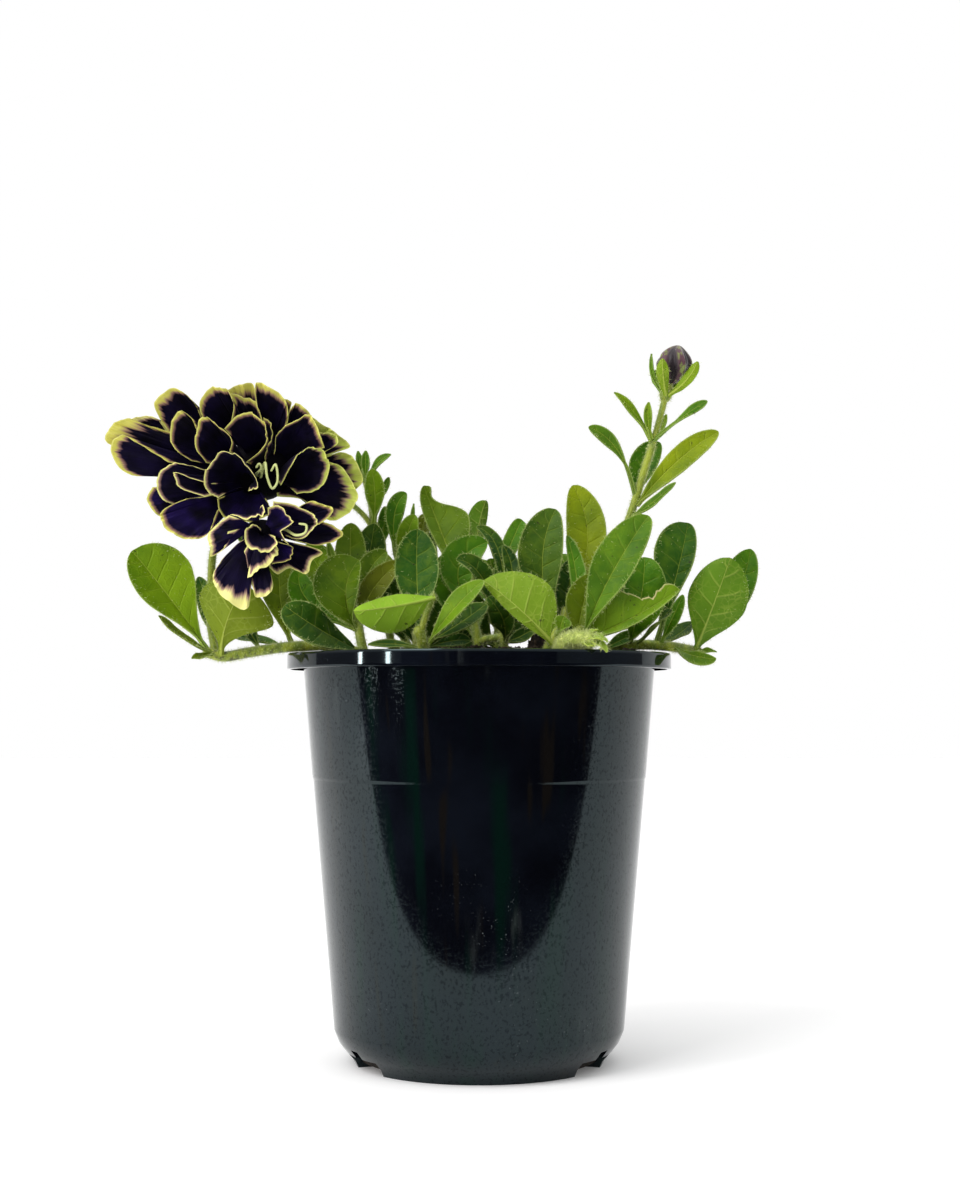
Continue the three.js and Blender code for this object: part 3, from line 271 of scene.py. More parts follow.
def sheet_part(middle, half, uv, facts, back_facts=None):
    """A closed blade about a grid of middle points, half as thick on each side as asked."""
    back = {**facts, **(back_facts or {})}
    rows, columns = middle.shape[:2]
    across = np.gradient(middle, axis=1)
    along = np.gradient(middle, axis=0)
    normal = unit(np.cross(across, along))
    top = (middle + normal * half[..., None]).reshape(-1, 3)
    bottom = (middle - normal * half[..., None]).reshape(-1, 3)
    count = rows * columns
    upper = grid_quads(rows, columns)
    lower = upper[:, ::-1] + count
    edge = [r * columns for r in range(rows - 1, 0, -1)]
    edge += list(range(columns - 1))
    edge += [r * columns + columns - 1 for r in range(rows - 1)]
    edge += [(rows - 1) * columns + c for c in range(columns - 1, -1, -1)]
    walls = [(a, a + count, b + count, b) for a, b in zip(edge, edge[1:] + edge[:1])]
    both = {name: np.concatenate([facts[name].ravel(), back[name].ravel()]) for name in facts}
    flat_uv = uv.reshape(-1, 2)
    quads = np.concatenate([upper, lower, np.array(walls)])
    return part(np.concatenate([top, bottom]), quads, np.concatenate([flat_uv, flat_uv]), both)


def piece_from(name, parts, finishes, sharp_degrees=55):
    """One mesh object, in metres, from a list of parts. Colours are facts with three numbers."""
    starts = np.cumsum([0] + [len(p["points"]) for p in parts])
    points = np.concatenate([p["points"] for p in parts]) * MM
    quads = np.concatenate([p["quads"] + start for p, start in zip(parts, starts)])
    slots = np.concatenate([np.full(len(p["quads"]), p["slot"]) for p in parts])
    mesh = bpy.data.meshes.new(name)
    mesh.from_pydata(points, [], quads.tolist())
    mesh.polygons.foreach_set("material_index", slots.astype(np.int32))
    corners = np.empty(len(mesh.loops), dtype=np.int32)
    mesh.loops.foreach_get("vertex_index", corners)
    uv = np.concatenate([p["uv"] for p in parts])
    mesh.uv_layers.new(name="UVMap").data.foreach_set("uv", uv[corners].astype(np.float32).ravel())
    for fact in parts[0]["facts"]:
        values = np.concatenate([p["facts"][fact].reshape(len(p["points"]), -1) for p in parts])
        if values.shape[1] == 3:
            layer = mesh.attributes.new(fact, "FLOAT_COLOR", "POINT")
            values = np.concatenate([values, np.ones((len(values), 1))], axis=1)
            layer.data.foreach_set("color", values.astype(np.float32).ravel())
        else:
            layer = mesh.attributes.new(fact, "FLOAT", "POINT")
            layer.data.foreach_set("value", values.astype(np.float32).ravel())
    for finish in finishes:
        mesh.materials.append(finish)
    mesh.validate()
    mesh.shade_smooth()
    mesh.set_sharp_from_angle(angle=math.radians(sharp_degrees))
    piece = bpy.data.objects.new(name, mesh)
    scene.collection.objects.link(piece)
    return piece


def seat(piece, slot, *nodes):
    """The piece rides with the plant and stands for its solids. Its slot is not used."""
    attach(piece, "root")
    if nodes:
        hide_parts(*nodes)
    print(piece.name, len(piece.data.polygons), "faces")


# %% Smooth lines through points
def smooth_line(points, at):
    """A centripetal Catmull-Rom line through the points, read at shares from 0 to 1 of its spans."""
    p = np.array(points, float)
    p = np.concatenate([[2 * p[0] - p[1]], p, [2 * p[-1] - p[-2]]])
    spans = len(points) - 1
    place = np.clip(np.asarray(at, float), 0, 1) * spans
    i = np.minimum(place.astype(int), spans - 1)
    w = (place - i)[..., None]
    a, b, c, d = p[i], p[i + 1], p[i + 2], p[i + 3]
    gap = [np.maximum(np.sum((v - u) ** 2, axis=-1, keepdims=True) ** 0.25, 1e-4)
           for u, v in ((a, b), (b, c), (c, d))]
    start = ((b - a) / gap[0] - (c - a) / (gap[0] + gap[1]) + (c - b) / gap[1]) * gap[1]
    end = ((c - b) / gap[1] - (d - b) / (gap[1] + gap[2]) + (d - c) / gap[2]) * gap[1]
    return (b + start * w + (3 * (c - b) - 2 * start - end) * w ** 2
            + (2 * (b - c) + start + end) * w ** 3)


def stem_part(points, radius, facts, slot, sides=12, rings_per_span=6, thin=1.0):
    """A round stem along a smooth line, with rounded ends, thinner at its far end by the share thin."""
    spans = len(points) - 1
    line = smooth_line(points, np.linspace(0, 1, spans * rings_per_span + 1))
    ahead = unit(np.gradient(line, axis=0))
    side = unit(np.cross(ahead[0], [0.3, 1, 0.2]))
    sides_at = []
    for direction in ahead:
        side = unit(side - direction * np.dot(side, direction))
        sides_at.append(side)
    sides_at = np.array(sides_at)
    others = np.cross(ahead, sides_at)
    width = radius * np.linspace(1, thin, len(line))
    cap = [(-0.98, 0.18), (-0.7, 0.71), (0, 1)]
    centres = [line[0] + ahead[0] * radius * back for back, share in cap[:2]]
    centres += list(line) + [line[-1] - ahead[-1] * width[-1] * back for back, share in cap[1::-1]]
    widths = [width[0] * share for back, share in cap[:2]] + list(width)
    widths += [width[-1] * share for back, share in cap[1::-1]]
    first = [sides_at[0]] * 2 + list(sides_at) + [sides_at[-1]] * 2
    second = [others[0]] * 2 + list(others) + [others[-1]] * 2
    turn = np.linspace(0, 2 * np.pi, sides, endpoint=False)
    rings = np.array([c + w * (np.outer(np.cos(turn), u) + np.outer(np.sin(turn), v))
                      for c, w, u, v in zip(centres, widths, first, second)])
    rows = len(rings)
    quads = []
    for r in range(rows - 1):
        for s in range(sides):
            t = (s + 1) % sides
            quads.append((r * sides + s, r * sides + t, (r + 1) * sides + t, (r + 1) * sides + s))
    length = np.linspace(0, spans, rows)
    uv = np.stack(np.meshgrid(length, turn / (2 * np.pi), indexing="ij"), axis=-1).reshape(-1, 2)
    return part(rings.reshape(-1, 3), quads, uv, {k: v(rows * sides) for k, v in facts.items()}, slot)

# %% [markdown]
# ## Leaf, stem and hair finishes
# Petunia leaves are matte and sticky with fine hairs. Their veins are paler than the skin between
# them, the underside is paler still, and dust and crumbs of compost cling to them. The blade's own
# coordinates place the veins, so they follow each leaf from neck to tip.


# %% Leaf finish
VEIN_GAP = 7.0


def leaf_finish():
    f = Finish("leaf_skin", Sheen_Weight=0.03, Sheen_Roughness=0.4, Specular_IOR_Level=0.14)
    split = f.add("ShaderNodeSeparateXYZ", {0: f.uv()})
    u, v = split.outputs["X"], split.outputs["Y"]
    long_mm, half_mm = f.fact("long_mm"), f.fact("half_mm")
    side_mm, under = f.fact("side_mm"), f.fact("under")
    place = f.place()
    apart = f.math("ABSOLUTE", f.math("MULTIPLY_ADD", u, 2.0, -1.0))
    rib_mm = f.times(apart, half_mm)
    rib_width = f.math("MULTIPLY_ADD", v, -0.4, 0.55)
    rib = f.fall(rib_mm, f.times(rib_width, 0.3), rib_width)
    pairs = f.math("MAXIMUM", 3.0, f.math("ROUND", f.math("DIVIDE", long_mm, VEIN_GAP)))
    lean = f.math("DIVIDE", f.times(f.times(apart, side_mm), 0.55), long_mm)
    right = f.math("GREATER_THAN", u, 0.5)
    wobble = f.math("MULTIPLY_ADD", f.noise(place, 130), 0.5, -0.25)
    order = f.math("ADD", f.times(f.math("SUBTRACT", v, lean), pairs),
                   f.math("MULTIPLY_ADD", right, 0.5, f.times(wobble, apart)))
    off = f.math("SUBTRACT", f.math("FRACT", f.math("ADD", order, 0.5)), 0.5)
    off_mm = f.times(f.math("ABSOLUTE", off), VEIN_GAP)
    side_vein = f.times(f.fall(off_mm, 0.05, 0.6), f.fall(apart, 0.45, 0.9))
    net = f.fall(f.cells(place, 420), 0.02, 0.14)
    net = f.times(net, f.step(f.noise(place, 90, detail=1), 0.35, 0.65))
    tint = f.fact("tint", "Color")
    broad, soft = f.noise(place, 55, detail=2), f.noise(place, 260, detail=3)
    shade = f.mix(1.0, tint, (0.48, 0.6, 0.45, 1), blend="MULTIPLY")
    bright = f.mix(0.35, tint, srgb("9CB41C"))
    skin = f.mix(f.step(broad, 0.3, 0.7), shade, tint)
    skin = f.mix(f.times(f.step(soft, 0.4, 0.8), 0.3), skin, bright)
    skin = f.mix(f.times(net, 0.1), skin, bright)
    skin = f.mix(f.times(side_vein, 0.13), skin, f.mix(0.5, bright, srgb("A8B844")))
    skin = f.mix(f.times(rib, 0.4), skin, f.mix(0.5, bright, srgb("B4C052")))
    edge_mm = f.times(f.math("SUBTRACT", 1.0, apart), half_mm)
    edge = f.fall(edge_mm, 0.05, 0.55)
    skin = f.mix(f.times(edge, 0.4), skin, srgb("AEBE6A"))
    raw = f.times(f.fact("torn"), f.fall(edge_mm, 0.3, 0.7))
    pale = f.mix(0.16, tint, srgb("A0AE40"))
    pale = f.mix(f.times(f.step(broad, 0.3, 0.7), 0.3), pale, shade)
    pale = f.mix(f.times(net, 0.2), pale, srgb("AEBC50"))
    pale_veins = f.math("MAXIMUM", rib, f.times(side_vein, 0.5))
    pale = f.mix(f.times(pale_veins, 0.45), pale, srgb("B8C45C"))
    skin = f.mix(under, skin, pale)
    skin = f.mix(raw, skin, srgb("CFC58C"))
    dust = f.step(f.noise(place, 520, detail=3, roughness=0.6), 0.68, 0.72)
    skin = f.mix(f.times(dust, 0.75), skin, srgb("1E1712"))
    veins = f.math("MAXIMUM", rib, f.times(side_vein, 0.7))
    relief = f.math("MULTIPLY_ADD", net, 0.15, f.times(veins, f.math("MULTIPLY_ADD", under, 1.6, -0.8)))
    down = f.bump(f.noise(place, 1400, detail=2), 0.2, 0.0003)
    f.set(**{"Base Color": skin, "Normal": f.bump(relief, 0.7, 0.0005, down),
             "Roughness": f.math("MULTIPLY_ADD", broad, 0.2, 0.4)})
    return f.material


LEAF_SKIN = leaf_finish()


# %% Stem and hair finish
def stem_finish(name, green, dark_green, dirty):
    f = Finish(name, roughness=0.45)
    place = f.place()
    streaks = f.noise(f.stretched(place, (1, 1, 0.25)), 420, detail=3)
    skin = f.mix(f.step(streaks, 0.35, 0.7), srgb(dark_green), srgb(green))
    low = f.add("ShaderNodeSeparateXYZ", {0: place}).outputs["Z"]
    soil_line = f.math("SUBTRACT", dirty, f.step(low, 0.146, 0.154))
    dirt = f.times(f.step(f.noise(place, 500, detail=3), 0.5, 0.62), f.math("MAXIMUM", soil_line, 0.0))
    f.set(**{"Base Color": f.mix(f.times(dirt, 0.9), skin, srgb("1C1510")),
             "Normal": f.bump(streaks, 0.3, 0.0003), "Sheen Weight": 0.3, "Sheen Roughness": 0.5})
    return f.material


STEM_SKIN = stem_finish("stem_skin", "98A424", "6A801A", 0.8)
STUB_SKIN = stem_finish("stub_skin", "D0DA72", "ACC050", 0.0)
HAIR_SKIN = Finish("hair_skin", roughness=0.4, Base_Color=srgb("C4CE84")).material

# %% [markdown]
# ## Petal finish
# The petals are velvet: nearly black violet, with faint veins that fan out from the heart. A band
# along the margin is cream to olive yellow, and where the two meet the violet bleeds outwards in
# fine magenta streaks. Each blade knows its distance from the margin, which places all of this.
# Some petals carry patches of bluish violet that are partly their own tone and partly painted
# sheen, where lit velvet looks bluer.


# %% Petal finish
def petal_finish():
    f = Finish("petal_velvet", roughness=0.6, Sheen_Weight=0.04, Sheen_Roughness=0.4,
               Specular_IOR_Level=0.08)
    margin, side = f.fact("margin_mm"), f.fact("side_mm")
    band, streak = f.fact("band_mm"), f.fact("streak")
    seed, violet, tint = f.fact("seed"), f.fact("violet"), f.fact("tint", "Color")
    place = f.place()
    lane = f.add("ShaderNodeCombineXYZ", {"X": f.times(streak, 1.5), "Y": seed,
                                          "Z": f.times(margin, 0.1)}).outputs[0]
    fans, broad = f.noise(lane, 1.0, detail=3, roughness=0.55), f.noise(place, 150, detail=2)
    along_side = f.math("MULTIPLY_ADD", f.step(margin, 3.0, 8.0), 4.0, f.math("MULTIPLY_ADD", side, 1.6, 0.1))
    near = f.math("MINIMUM", margin, along_side)
    feather = f.times(f.math("SUBTRACT", fans, 0.5), f.times(band, 0.9))
    reach = f.math("ADD", near, feather)
    stain = f.step(reach, f.times(band, 0.45), f.times(band, 1.1))
    dark = f.step(reach, f.times(band, 0.9), f.math("MULTIPLY_ADD", band, 1.15, 1.1))
    veins = f.step(fans, 0.5, 0.78)
    # Bluish violet patches: partly the petal's own tone, partly painted sheen of lit velvet. The violet fact
    # sets how much of it each petal shows.
    blue = f.mix(f.times(veins, 0.5), srgb("1F1052"), srgb("3A2274"))
    velvet = f.mix(f.times(veins, 0.16), srgb("04020B"), srgb("190C34"))
    velvet = f.mix(f.times(violet, f.step(broad, 0.2, 0.8)), velvet, blue)
    cream = f.mix(f.times(f.step(fans, 0.4, 0.7), 0.35), tint, srgb("E0DE84"))
    cream = f.mix(f.times(f.step(broad, 0.4, 0.75), 0.4), cream, f.mix(0.5, tint, srgb("86902F")))
    line = f.fall(near, 0.3, 0.7)
    cream = f.mix(f.times(line, 0.5), cream, srgb("E9E88C"))
    skin = f.mix(f.times(stain, 0.75), cream, srgb("701E62"))
    skin = f.mix(dark, skin, velvet)
    f.set(**{"Base Color": skin, "Normal": f.bump(fans, 0.25, 0.0004)})
    return f.material


PETAL_VELVET = petal_finish()


def trumpet_finish():
    f = Finish("trumpet_skin", roughness=0.5)
    ribs = f.noise(f.stretched(f.place(), (1, 0.2, 1)), 500, detail=2)
    f.set(**{"Base Color": f.mix(f.step(ribs, 0.4, 0.65), srgb("33203F"), srgb("77705A")),
             "Sheen Weight": 0.3})
    return f.material


TRUMPET_SKIN = trumpet_finish()
CURL_SKIN = Finish("curl_skin", roughness=0.45, Base_Color=srgb("C6CE86")).material


# %% Bud finish
def bud_finish():
    f = Finish("bud_skin", roughness=0.55)
    twist = f.fact("twist")
    rise = f.fact("rise")
    place = f.place()
    streaks = f.noise(f.stretched(place, (1, 1, 0.3)), 700, detail=4)
    fold = f.math("MULTIPLY_ADD", f.math("SINE", twist), 0.5, 0.5)
    skin = f.mix(f.step(fold, 0.2, 0.9), srgb("1E0F18"), srgb("54323C"))
    green = f.times(f.step(streaks, 0.5, 0.62), f.step(fold, 0.4, 0.9))
    skin = f.mix(f.times(green, 0.8), skin, srgb("7F9040"))
    skin = f.mix(f.times(f.step(rise, 0.8, 1.0), 0.3), skin, srgb("86765C"))
    f.set(**{"Base Color": skin, "Normal": f.bump(streaks, 0.4, 0.0004), "Sheen Weight": 0.4,
             "Sheen Roughness": 0.4})
    return f.material


BUD_SKIN = bud_finish()

# %% [markdown]
# ## Pot and compost finishes
# The pot is black plastic straight from the mould: glossy, faintly streaked where the melt
# flowed, and dusty with dried spray. Faint green and brown stripes in its colour are painted
# reflections of the room. Moist compost is dark brown, rough and almost without gloss.


# %% Pot finish
def pot_finish():
    f = Finish("pot_plastic", roughness=0.08, Specular_Tint=(0.72, 0.97, 1, 1))
    place = f.place()
    height = f.add("ShaderNodeSeparateXYZ", {0: place}).outputs["Z"]
    below_rim = f.step(height, 0.1415, 0.1395)
    speckle = f.noise(f.stretched(place, (1, 1, 0.8)), 1000, detail=4, roughness=0.65)
    clouds = f.noise(place, 45, detail=3)
    runs = f.noise(f.stretched(place, (1, 1, 0.08)), 260, detail=3)
    skin = f.mix(f.step(clouds, 0.35, 0.7), srgb("05060B"), srgb("0A0D14"))
    # Painted reflection of the room: dark green stripes below the rim and brown stripes, put into the
    # plastic's colour.
    painted_room_reflections = f.noise(f.stretched(place, (1, 1, 0.02)), 130, detail=2)
    skin = f.mix(f.times(f.step(painted_room_reflections, 0.5, 0.72), below_rim), skin, srgb("04130F"))
    skin = f.mix(f.step(painted_room_reflections, 0.36, 0.3), skin, srgb("0F0D0C"))
    flecks = f.step(f.noise(place, 1300, detail=3, roughness=0.6), 0.67, 0.72)
    wet = f.times(flecks, f.step(f.noise(place, 28, detail=2), 0.5, 0.66))
    skin = f.mix(f.times(wet, 0.35), skin, srgb("8A9294"))
    dried = f.times(f.step(f.noise(place, 30, detail=2), 0.55, 0.7), f.step(runs, 0.5, 0.8))
    skin = f.mix(f.times(dried, 0.1), skin, srgb("8A9490"))
    rough = f.math("ADD", f.math("MULTIPLY_ADD", clouds, 0.05, 0.04), f.times(wet, 0.22))
    flow = f.math("MULTIPLY_ADD", runs, 0.35, f.noise(f.stretched(place, (1, 1, 0.15)), 160, detail=2))
    drops = f.times(f.step(speckle, 0.53, 0.62), below_rim)
    spray = f.bump(drops, 0.05, 0.0002, f.bump(flow, 0.012, 0.001))
    gloss = f.math("MULTIPLY_ADD", drops, -0.16, 0.37)
    f.set(**{"Base Color": skin, "Roughness": rough, "Specular IOR Level": gloss, "Normal": spray})
    return f.material


POT_PLASTIC = pot_finish()


# %% Compost finish
def compost_finish(name, light):
    f = Finish(name, roughness=0.85)
    place = f.place()
    grain = f.noise(place, 500, detail=5, roughness=0.65)
    skin = f.mix(f.step(grain, 0.3, 0.75), srgb("0D0907"), srgb(light))
    f.set(**{"Base Color": skin, "Normal": f.bump(grain, 0.6, 0.0012), "Specular IOR Level": 0.25})
    return f.material


COMPOST = compost_finish("compost", "33271D")
CRUMB = compost_finish("compost_crumb", "4A3A2A")

# %% [markdown]
# ## Leaves
# A petunia leaf is a soft blade folded a little along its midrib. It is described as a gardener
# would: where it joins, bends and ends, how wide it is on each side and which way its upper side
# looks. The outline swells from a narrow neck and closes in a blunt tip. Side veins leave the
# midrib in pairs, and the skin between them is slightly quilted.

# %% Leaf shape
FRONT = [0, -1, 0.25]
SKY = [0, -0.4, 1]
# Each leaf's green is partly its own colour and partly painted light and shade: leaves that lie in shade were
# given darker greens such as deep, forest and moss, and lit leaves lighter ones.
LEAF_GREENS_AND_SHADES = {"fresh": "709006", "mid": "487806", "deep": "2A4E06", "forest": "305A0C", "blue": "244E06",
               "sage": "547A12", "spring": "688A10", "lime": "8CBA2E", "gold": "7E8E02", "olive": "667A06",
               "moss": "547006", "umber": "666E10", "dusk": "405E10", "torn": "AEC24A"}
USUAL_WIDEST, USUAL_WEDGE, BLUNT = 0.58, 1.15, 0.52


def leaf(base, middle, tip, left, right, face, green="mid", **extra):
    """left and right are half-widths in mm, as seen looking at the upper side, which faces face."""
    return {"spine": [base, middle, tip], "half": [left, right], "face": face, "green": green, **extra}


def curve_through(spine, t):
    base, bend, tip = np.array(spine, float)
    t = t[..., None]
    return base * (2 * (t - 0.5) * (t - 1)) + bend * (4 * t * (1 - t)) + tip * (2 * t * (t - 0.5))


def leaf_outline(t, widest, wedge=USUAL_WEDGE):
    """Narrow towards the stem, then blunt: the share of the full width at t."""
    swell = np.maximum(np.sin(np.pi * t ** (math.log(0.5) / math.log(widest))), 0)
    return swell ** np.where(t < widest, wedge, BLUNT)


def leaf_part(data):
    """A leaf's blade. Shares t run from base to tip and c from the left margin, -1, to the right, 1."""
    length = np.linalg.norm(np.subtract(data["spine"][2], data["spine"][0]))
    big = sum(data["half"]) > 8
    rows = int(np.clip(length * 1.6, 12, 56))
    t, c = np.meshgrid(np.linspace(0, 1, rows), np.linspace(-1, 1, 19 if big else 11), indexing="ij")
    centre = curve_through(data["spine"], t)
    further = curve_through(data["spine"], np.minimum(t + 0.01, 1))
    nearer = curve_through(data["spine"], t - 0.01)
    ahead = unit(further - nearer)
    face = np.array(data["face"], float)
    up = unit(face - ahead * (ahead @ face)[..., None])
    side = np.cross(ahead, up)
    right = (c > 0).astype(int)
    half = np.array(data["half"], float)[right]
    wide = half * leaf_outline(t, data.get("widest", USUAL_WIDEST), data.get("wedge", USUAL_WEDGE))
    torn = np.zeros_like(t)
    if "bite" in data:
        bite = data["bite"]
        near = np.exp(-(((t - bite["at"]) / bite["long"]) ** 2))
        ragged = bite.get("raw", 0) * (0.05 * np.sin(60 * t) + 0.03 * np.sin(137 * t))
        dip = 1 - near * (bite["depth"] + ragged)
        wide = np.where(right == bite["side"], wide * dip, wide)
        torn = np.where(right == bite["side"], near * bite.get("raw", 0), 0)
    wide = np.maximum(wide, 0.8 - 0.45 * t)
    reach = np.abs(c) * wide
    lift = np.radians(np.array(data.get("fold", [14, 14]))[right]) * (0.5 + 0.5 * np.abs(c))
    ripple = 0.35 * c * c * leaf_outline(t, 0.5) * np.sin(9 * t + data["spine"][0][0] + 2 * right)
    soft = min(1.0, half.max() / 9)
    pairs = max(3, round(length / VEIN_GAP))
    vein = pairs * (t - 0.55 * np.abs(c) * half / length) + 0.5 * right
    quilt = 0.3 * soft * np.abs(np.sin(np.pi * vein)) * np.minimum(reach / 2, 1) * leaf_outline(t, 0.5)
    groove = -0.35 * soft * np.exp(-(reach / 0.8) ** 2) * (1 - 0.6 * t)
    middle_points = (centre + side * (np.sign(c) * reach * np.cos(lift))[..., None]
                     + up * (reach * np.sin(lift) + ripple + quilt + groove)[..., None])
    thick = 0.16 + 0.1 * (1 - np.abs(c)) + 0.45 * (1 - t) ** 3
    thick = thick * np.clip((1 - t) * rows / 3, 0.4, 1)
    uv = np.stack([c * 0.5 + 0.5, t], axis=-1)
    ones = np.ones_like(t)
    tint = np.array(srgb(LEAF_GREENS_AND_SHADES[data["green"]])[:3])
    facts = {"tint": np.broadcast_to(tint, t.shape + (3,)).copy().reshape(-1, 3), "long_mm": ones * length,
             "half_mm": wide, "side_mm": half, "under": ones * 0, "torn": torn,
             "hairy": 0.015 + 0.985 * np.abs(c) ** 14 * np.minimum(wide / 2, 1)}
    return sheet_part(middle_points, thick, uv, facts, {"under": ones})

# %% [markdown]
# ## Petals
# A double petunia is a funnel packed with ruffled petals. Each petal is drawn by the outline that
# its margin makes in space, and its blade spans from there down to a narrow claw in the heart. The
# margin is creased and wavy, as petals that unfolded from a tight bud are.


# %% Petal shape
# violet is how much bluish violet, partly painted sheen, the petal shows.
def petal(root, margin, bulge=1.2, band=1.6, peak=0.5, spread=0.3, pale="olive", violet=0.2):
    """A petal in the bloom's own frame, in mm. Its pale band is widest, band, at peak along the margin."""
    return {"root": root, "margin": margin, "bulge": bulge, "band": band, "peak": peak, "spread": spread,
            "pale": pale, "violet": violet}


PALES = {"cream": "E6E090", "olive": "C6C056", "green": "B4C252"}
PALE_LINE = 0.9


def petal_part(data, heart_at, seed):
    spans = len(data["margin"]) - 1
    columns = spans * 7 + 1
    rows = 15
    start = np.array(data["root"], float) * 0.8 + np.array(heart_at, float) * 0.2
    ends = smooth_line(data["margin"], np.array([0.0, 0.5, 1.0]))
    normal = unit(np.cross(ends[2] - ends[0], ends[1] - start))
    r, s = np.meshgrid(np.linspace(0, 1, rows) ** 0.85, np.linspace(0, 1, columns), indexing="ij")
    outward = smooth_line(data["margin"], s) - start
    claw = 0.14 + 0.86 * r
    c = 2 * s - 1
    swell = -data["bulge"] * 4 * r * (1 - r) * (1 - 0.6 * c * c)
    reach = np.linalg.norm(outward, axis=-1)
    steps = np.diff(smooth_line(data["margin"], np.linspace(0, 1, 40)), axis=0)
    width = np.linalg.norm(steps, axis=-1).sum()
    along_margin = s * width
    ruffle = r ** 3 * np.sin(s * np.pi) ** 0.4 * (
        0.55 * np.sin(along_margin * 0.9 + seed * 1.7) + 0.3 * np.sin(along_margin * 2.1 + seed * 2.9))
    pleats = 0.16 * r * np.sin(along_margin * 2.6 + seed) * np.sin(np.pi * s) ** 0.3
    middle_points = start + outward * claw[..., None] + normal * (swell + ruffle + pleats)[..., None]
    thick = 0.3 - 0.17 * r
    thick = thick * np.clip((1 - r) * rows / 1.5, 0.5, 1)
    ones = np.ones_like(r)
    pale = np.array(srgb(PALES[data["pale"]])[:3])
    hump = np.exp(-((s - data["peak"]) / data["spread"]) ** 2)
    wander = 1 + 0.3 * np.sin(1.1 * along_margin + seed) + 0.2 * np.sin(2.7 * along_margin + 2 * seed)
    line = min(PALE_LINE, data["band"])
    band = line + (data["band"] - line) * hump * wander
    facts = {"tint": np.broadcast_to(pale, r.shape + (3,)).copy().reshape(-1, 3),
             "margin_mm": (1 - r) * reach, "side_mm": np.minimum(s, 1 - s) * width * claw,
             "band_mm": band, "streak": along_margin, "seed": ones * seed, "violet": ones * data["violet"]}
    uv = np.stack([s, r], axis=-1)
    return sheet_part(middle_points, thick, uv, facts)


def ball_part(centre, radii, facts, slot, rings=16, sides=28):
    """A closed rounded heart, as a stack of rings with two poles."""
    lat = np.linspace(-np.pi / 2, np.pi / 2, rings + 1)[1:-1]
    turn = np.linspace(0, 2 * np.pi, sides, endpoint=False)
    ball = [[0, 0, -1]]
    ball += [[np.cos(a) * np.cos(b), np.cos(a) * np.sin(b), np.sin(a)] for a in lat for b in turn]
    ball += [[0, 0, 1]]
    return capped_part(np.array(ball) * radii + centre, len(lat), sides, facts, slot)


def capped_part(points, rings, sides, facts, slot):
    """Rings of points between two poles, the first and the last point."""
    quads = []
    last = len(points) - 1
    for s in range(sides):
        t = (s + 1) % sides
        quads.append((0, 1 + t, 1 + s, 1 + s))
        for r in range(rings - 1):
            a = 1 + r * sides
            quads.append((a + s, a + t, a + sides + t, a + sides + s))
        a = 1 + (rings - 1) * sides
        quads.append((a + s, a + t, last, last))
    uv = np.zeros((len(points), 2))
    return part(points, quads, uv, {k: v(len(points)) for k, v in facts.items()}, slot)


def turned_part(end, other, profile, facts, slot, sides=28):
    """A round body turned about the line from end to other: pairs of radius and distance."""
    end, other = np.array(end, float), np.array(other, float)
    ahead = unit(other - end)
    across = unit(np.cross(ahead, [0.3, 1, 0.2]))
    over = np.cross(ahead, across)
    turn = np.linspace(0, 2 * np.pi, sides, endpoint=False)
    ring = np.outer(np.cos(turn), across) + np.outer(np.sin(turn), over)
    points = [end + ahead * profile[0][1]]
    for radius, distance in profile[1:-1]:
        points += list(end + ahead * distance + ring * radius)
    points.append(end + ahead * profile[-1][1])
    return capped_part(np.array(points), len(profile) - 2, sides, facts, slot)


def bloom_frame(data):
    """Right, up and forward of a bloom as columns, and its centre."""
    forward = unit(np.array(data["faces"], float))
    right = unit(np.cross([0, 0, 1], forward))
    return np.stack([right, np.cross(forward, right), forward], axis=1), np.array(data["centre"], float)


def bloom_piece(name, data, finishes):
    """Petals, heart, trumpet and curled styles of one bloom."""
    plain = {"tint": lambda n: np.tile(srgb("2A1B4A")[:3], (n, 1)), "margin_mm": lambda n: np.full(n, 30.0),
             "side_mm": lambda n: np.full(n, 9.0), "band_mm": lambda n: np.full(n, 1.0),
             "streak": np.zeros, "seed": np.zeros, "violet": np.zeros}
    heart = data["heart"]
    parts = [ball_part(heart["at"], heart["radii"], plain, 0)]
    length = float(np.linalg.norm(np.subtract(heart["at"], data["tubeEnd"])))
    wide = heart["radii"][0] * 0.62
    profile = [(0, 0), (1.1, 0.1), (1.8, 0.7)]
    for share in np.linspace(0.1, 0.9, 12):
        profile.append((1.8 + 0.5 * min(share / 0.45, 1) + (wide - 2.3) * max(share / 0.45 - 1, 0) ** 1.2,
                        length * share))
    profile.append((0, length * 0.9))
    parts.append(turned_part(data["tubeEnd"], heart["at"], profile, plain, 1))
    for i, one in enumerate(data["petals"]):
        parts.append(petal_part(one, heart["at"], i + 1.0))
    for path in data["curls"]:
        parts.append(stem_part(path, 0.55, plain, 2, sides=8, thin=0.7))
    turn, centre = bloom_frame(data)
    for p in parts:
        p["points"] = p["points"] @ turn.T + centre
    return piece_from(name, parts, finishes)


def calyx_parts(data):
    """The receptacle and five sepals that hold a bloom's trumpet, as a stem path and leaves."""
    turn, centre = bloom_frame(data)
    end = turn @ np.array(data["tubeEnd"], float) + centre
    ahead = unit(turn @ np.array(data["heart"]["at"], float) + centre - end)
    across = unit(np.cross([0, 0, 1], ahead))
    over = np.cross(ahead, across)
    sepals = []
    for i in range(5):
        angle = 2 * math.pi * i / 5
        way = across * math.cos(angle) + over * math.sin(angle)
        places = [end + ahead * step + way * out for step, out in ((-1.3, 2.1), (4.5, 5), (10, 6.5))]
        sepals.append(leaf(*[p.tolist() for p in places], 1.3, 1.3, (-way).tolist()))
    receptacle = [(end - ahead * 2.9).tolist(), (end - ahead * 0.3).tolist()]
    return receptacle, sepals

# %% [markdown]
# ## Where each leaf and stem is
# Stems are given as the points that they pass through. Rooted ones start in the compost.

